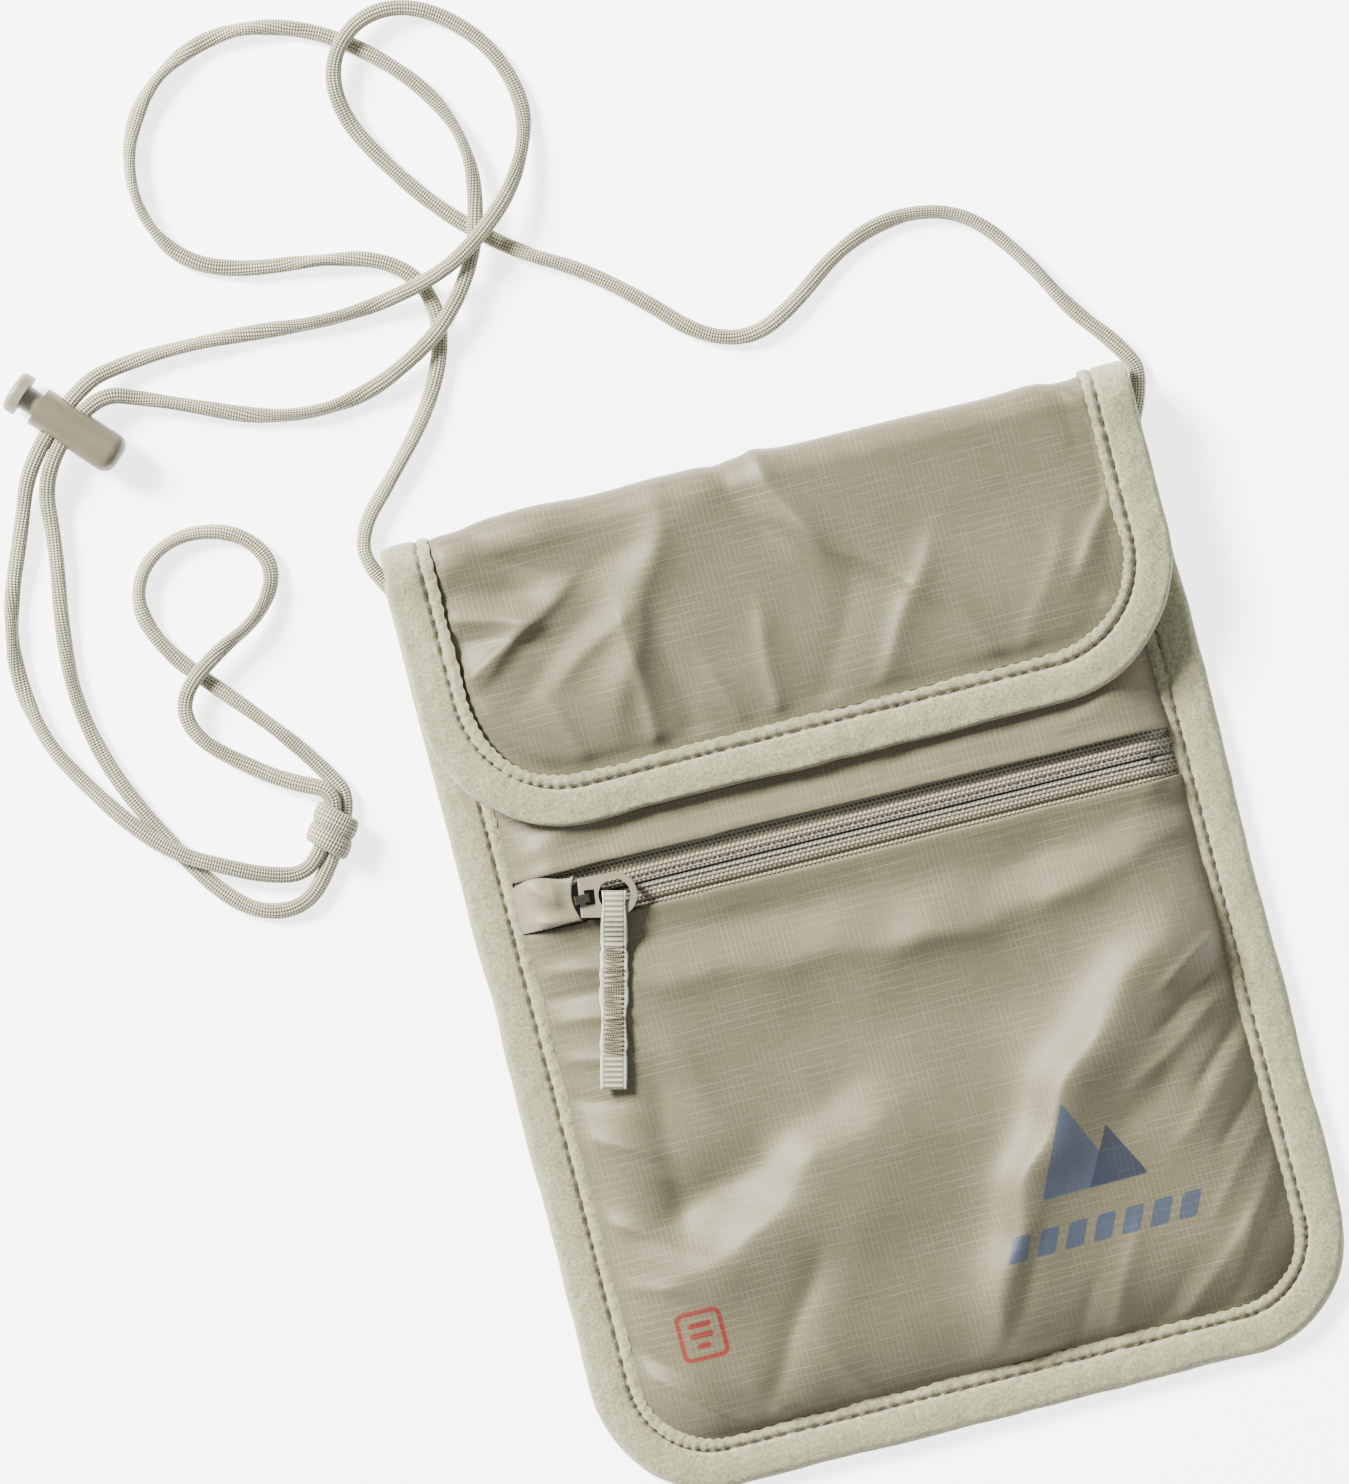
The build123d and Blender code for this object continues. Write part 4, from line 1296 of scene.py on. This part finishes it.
zigzag_thread = thread_material("zigzag_thread", (168, 158, 134))
pull_ribbon()
ribbon_zigzag()

# ---------------------------------------------------------------- cord lock and zip hardware


def zip_stops():
    """The two small crimped stops, which sit on the teeth under the folded tape."""
    vertices, faces = [], []
    for place in (-54.9, 56.25):
        for z, size in ((6.5, 0.85), (6.62, 1.0), (6.93, 1.0), (7.05, 0.85)):
            base = len(vertices)
            for sx, sy in ((-1, -1), (1, -1), (1, 1), (-1, 1)):
                vertices.append((place + 0.3 * size * sx, zip_line(place) + 0.9 * size * sy, z))
            if z > 6.5:
                for k in range(4):
                    turned = (k + 1) % 4
                    faces.append((base - 4 + k, base - 4 + turned, base + turned, base + k))
            else:
                faces.append((base + 3, base + 2, base + 1, base))
        faces.append((base, base + 1, base + 2, base + 3))
    obj = make_object("zip_stop_pair", vertices, faces, material=slider_metal)
    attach(obj, "pouch")
    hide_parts("zip_stops")


zip_stops()
steel = plastic_material("spring_steel", (150, 150, 150), 0.3)
for node, finish in (
    ("slider_body", slider_metal),
    ("pull_tab", lacquer),
    ("lock_barrel", barrel_plastic),
    ("lock_plunger", plunger_plastic),
    ("lock_spring", steel),
):
    node_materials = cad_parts[node].data.materials
    node_materials.clear()
    node_materials.append(finish)

# ---------------------------------------------------------------- neck cord

CORD_WIDE = 1.45
CORD_THIN = 0.95
# Height of the cord's middle where it lies on the floor
LOW = 1.45
OVER_ONE = 4.45
OVER_TWO = 7.45
LOCK_ALONG = np.array([0.676, -0.737, 0.0]) / math.hypot(0.676, 0.737)
LOCK_ACROSS = np.array([0.737, 0.676, 0.0]) / math.hypot(0.737, 0.676)
LOCK_OPEN_END = np.array([-122.55, 130.5, 4.0])
CORD_IN_LOCK = (4.05, 6.95)


def in_lock(strand, across):
    """Point on a strand's straight way through the lock."""
    return tuple(LOCK_OPEN_END + LOCK_ALONG * CORD_IN_LOCK[strand] + LOCK_ACROSS * across)


left_strand = [
    (-68.2, 81.6, LOW),
    (-72.9, 88.2, LOW),
    (-70.9, 95.6, LOW),
    (-64.6, 101.6, LOW),
    (-54.0, 113.4, LOW),
    (-48.6, 125.0, LOW),
    (-49.2, 134.6, LOW),
    (-55.6, 141.2, LOW),
    (-66.5, 143.8, LOW),
    (-82.5, 145.6, LOW),
    (-92.4, 150.8, LOW),
    (-97.0, 161.5, LOW),
    (-95.6, 173.2, LOW),
    (-88.2, 183.2, LOW),
    (-76.0, 188.4, LOW),
    (-63.8, 187.0, LOW),
    (-53.2, 181.7, LOW),
    (-43.2, 172.4, LOW),
    (-37.8, 163.6, LOW),
    (-35.9, 155.0, 2.9),
    (-36.8, 147.0, OVER_ONE),
    (-39.9, 136.8, OVER_ONE),
    (-47.3, 127.2, OVER_ONE),
    (-55.5, 121.9, 4.2),
    (-65.0, 118.0, 2.0),
    (-75.5, 117.1, LOW),
    (-85.5, 119.3, LOW),
    (-94.3, 123.2, LOW),
    (-103.2, 127.0, 2.4),
    in_lock(1, 7.5),
]
inner_strand = [
    in_lock(1, -10.0),
    (-126.0, 105.0, 1.8),
    (-128.8, 90.0, LOW),
    (-129.5, 77.0, LOW),
    (-126.6, 63.5, LOW),
    (-120.6, 50.5, LOW),
    (-113.6, 38.5, LOW),
    (-107.2, 32.2, LOW),
    (-99.8, 30.7, 1.6),
    (-94.3, 34.0, 1.8),
]
end_loop = [
    (-85.5, 47.5, 1.8),
    (-88.7, 53.8, LOW),
    (-94.6, 62.4, LOW),
    (-103.6, 72.8, LOW),
    (-111.0, 81.2, LOW),
    (-114.8, 90.6, LOW),
    (-111.4, 98.7, LOW),
    (-102.6, 102.2, LOW),
    (-92.6, 99.4, LOW),
    (-88.2, 91.6, 2.0),
    (-93.4, 83.6, 3.2),
    (-102.8, 79.4, OVER_ONE),
    (-111.0, 73.0, OVER_ONE),
    (-110.2, 65.4, 2.4),
    (-102.6, 58.6, LOW),
    (-95.8, 53.6, 2.6),
    (-86.9, 49.6, 4.2),
]
outer_strand = [
    (-93.6, 39.2, 2.6),
    (-97.6, 36.6, 2.4),
    (-104.2, 38.4, 3.2),
    (-110.0, 41.2, OVER_ONE),
    (-118.9, 46.1, OVER_ONE),
    (-126.0, 54.0, OVER_ONE),
    (-132.0, 63.0, 1.9),
    (-136.6, 71.5, LOW),
    (-138.9, 84.5, LOW),
    (-136.6, 97.5, LOW),
    (-131.4, 109.5, 2.2),
    in_lock(0, -10.0),
]
right_strand = [
    in_lock(0, 7.5),
    (-106.0, 134.3, 2.6),
    (-96.5, 134.8, LOW),
    (-83.0, 134.2, LOW),
    (-70.5, 132.8, LOW),
    (-60.5, 133.1, 2.2),
    (-51.2, 134.6, OVER_ONE + 0.3),
    (-43.2, 137.0, OVER_TWO),
    (-34.2, 143.3, OVER_TWO),
    (-28.0, 150.4, 4.2),
    (-23.9, 160.5, LOW),
    (-26.2, 171.4, LOW),
    (-32.6, 179.9, LOW),
    (-41.0, 185.0, 2.6),
    (-49.6, 184.4, OVER_ONE),
    (-56.1, 178.2, OVER_ONE),
    (-56.9, 169.0, 2.4),
    (-51.8, 158.6, LOW),
    (-43.4, 146.8, LOW),
    (-32.0, 136.4, LOW),
    (-21.8, 130.8, LOW),
    (-12.2, 122.6, LOW),
    (-4.0, 113.9, LOW),
    (5.0, 110.6, LOW),
    (13.6, 114.2, LOW),
    (25.0, 122.9, LOW),
    (37.0, 126.2, LOW),
    (48.6, 123.4, LOW),
    (56.9, 112.6, LOW),
    (62.4, 101.8, LOW),
    (69.4, 93.4, LOW),
    (72.7, 86.3, LOW),
    (68.2, 78.6, LOW),
]
ROUTE = left_strand + inner_strand + end_loop + outer_strand + right_strand
CORD_STEP = 0.5


def route_points():
    """Points along the route's smooth line, read from its NURBS spline."""
    curve = bpy.data.curves.new("cord_route", "CURVE")
    curve.dimensions = "3D"
    curve.resolution_u = 10
    spline = curve.splines.new("NURBS")
    spline.points.add(len(ROUTE) - 1)
    for point, place in zip(spline.points, ROUTE):
        point.co = (*(v * MM for v in place), 1)
    spline.order_u = 3
    spline.use_endpoint_u = True
    holder = bpy.data.objects.new("cord_route", curve)
    scene.collection.objects.link(holder)
    bpy.context.view_layer.update()
    line = bpy.data.meshes.new_from_object(holder)
    points = np.array([v.co for v in line.vertices]) / MM
    bpy.data.objects.remove(holder)
    return points


def even(points, step):
    """The same line with evenly spaced points."""
    length = np.concatenate([[0], np.cumsum(np.linalg.norm(np.diff(points, axis=0), axis=1))])
    at = np.linspace(0, length[-1], int(length[-1] / step))
    return np.stack([np.interp(at, length, points[:, k]) for k in range(3)], -1)


cord_line = even(route_points(), CORD_STEP)


def neck_cord():
    """Flat braided cord that turns over as it goes and lies on the surface or on the strands it crosses."""
    count = len(cord_line)
    at = np.arange(count) * CORD_STEP
    flat_xy = cord_line[:, :2]
    gap = np.linalg.norm(flat_xy[::2, None] - flat_xy[None, ::2], axis=2)
    order = np.abs(np.arange(len(gap))[:, None] - np.arange(len(gap))[None])
    gap[order < 16] = 1e3
    clear = np.repeat(gap.min(1), 2)[:count]
    in_the_lock = np.linalg.norm(cord_line - (LOCK_OPEN_END + LOCK_ALONG * 5.5), axis=1)
    free = smooth((clear - 2.0) / 9) * smooth((in_the_lock - 8) / 10)
    roll = free * (1.1 * noise_1d(at, 131, 23.0) + 0.7 * noise_1d(at, 132, 9.0))
    half_height = np.sqrt((CORD_WIDE * np.sin(roll)) ** 2 + (CORD_THIN * np.cos(roll)) ** 2)
    lifted = half_height + 0.7 * (cord_line[:, 2] - LOW)
    near_lock = smooth((16 - in_the_lock) / 8)
    centres = cord_line.copy()
    centres[:, 2] = lifted * (1 - near_lock) + cord_line[:, 2] * near_lock
    wide = CORD_WIDE * (1 + 0.05 * noise_1d(at, 133, 5.0))
    tangent = np.gradient(centres, axis=0)
    tangent /= np.linalg.norm(tangent, axis=1, keepdims=True)
    side = np.cross([0.0, 0.0, 1.0], tangent)
    side /= np.linalg.norm(side, axis=1, keepdims=True)
    up = np.cross(tangent, side)
    ups = up * np.cos(roll)[:, None] + side * np.sin(roll)[:, None]
    obj = tube("neck_cord_braid", centres, ups, wide, CORD_THIN, 16, braid, 0.85)
    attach(obj, "pouch")
    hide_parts("neck_cord")
    return obj, centres


def knot():
    """Two flattened turns of the cord round the doubled strands, lying side by side on a slant."""
    along = np.array([0.55, 0.83, 0.0]) / math.hypot(0.55, 0.83)
    across = np.array([-along[1], along[0], 0.0])
    centre = np.array([-90.1, 43.1, 3.0])
    turns = []
    for start in (-1.85, 1.85):
        a = np.linspace(0, 2 * math.pi, 61)
        slant = 0.55 * np.cos(a)
        ring = (
            centre
            + along * (start + slant)[:, None]
            + across * (3.35 * np.cos(a))[:, None]
            + np.array([0, 0, 1.0]) * (2.0 * np.sin(a))[:, None]
        )
        ups = across * np.cos(a)[:, None] / 3.35 + np.array([0, 0, 1.0]) * np.sin(a)[:, None] / 2.0
        turns.append(tube(f"knot_turn_{len(turns)}", ring, ups, 1.95, 0.92, 16, braid, 0.8))
    core_line = centre + along * np.linspace(-3.4, 3.4, 15)[:, None]
    ups = np.tile([0.0, 0.0, 1.0], (15, 1))
    swell = np.sqrt(np.clip(1 - (np.linspace(-1, 1, 15)) ** 4, 0.08, 1))
    turns.append(tube("knot_core", core_line, ups, 3.3 * swell, 1.9 * swell, 16, braid))
    for piece in turns:
        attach(piece, "pouch")
    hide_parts("cord_knot")
    return turns


cord_piece, cord_centres = neck_cord()
knot_pieces = knot()

# ---------------------------------------------------------------- floor


def floor():
    """Plain pale floor that gives back a little light of its own, so that it stays near white."""
    half = 6.0
    mesh = bpy.data.meshes.new("floor")
    corners = [(-half, -half, 0), (half, -half, 0), (half, half, 0), (-half, half, 0)]
    mesh.from_pydata(corners, [], [(0, 1, 2, 3)])
    n = Nodes("floor")
    shade = n.mix(n.noise(0.02, 2.0), (0.86, 0.87, 0.88, 1), (0.9, 0.9, 0.9, 1))
    mesh.materials.append(n.finish(shade, 0.9, Emission_Color=(1, 1, 1, 1), Emission_Strength=3.0))
    obj = bpy.data.objects.new("floor", mesh)
    obj.location.z = -0.0003
    scene.collection.objects.link(obj)


floor()
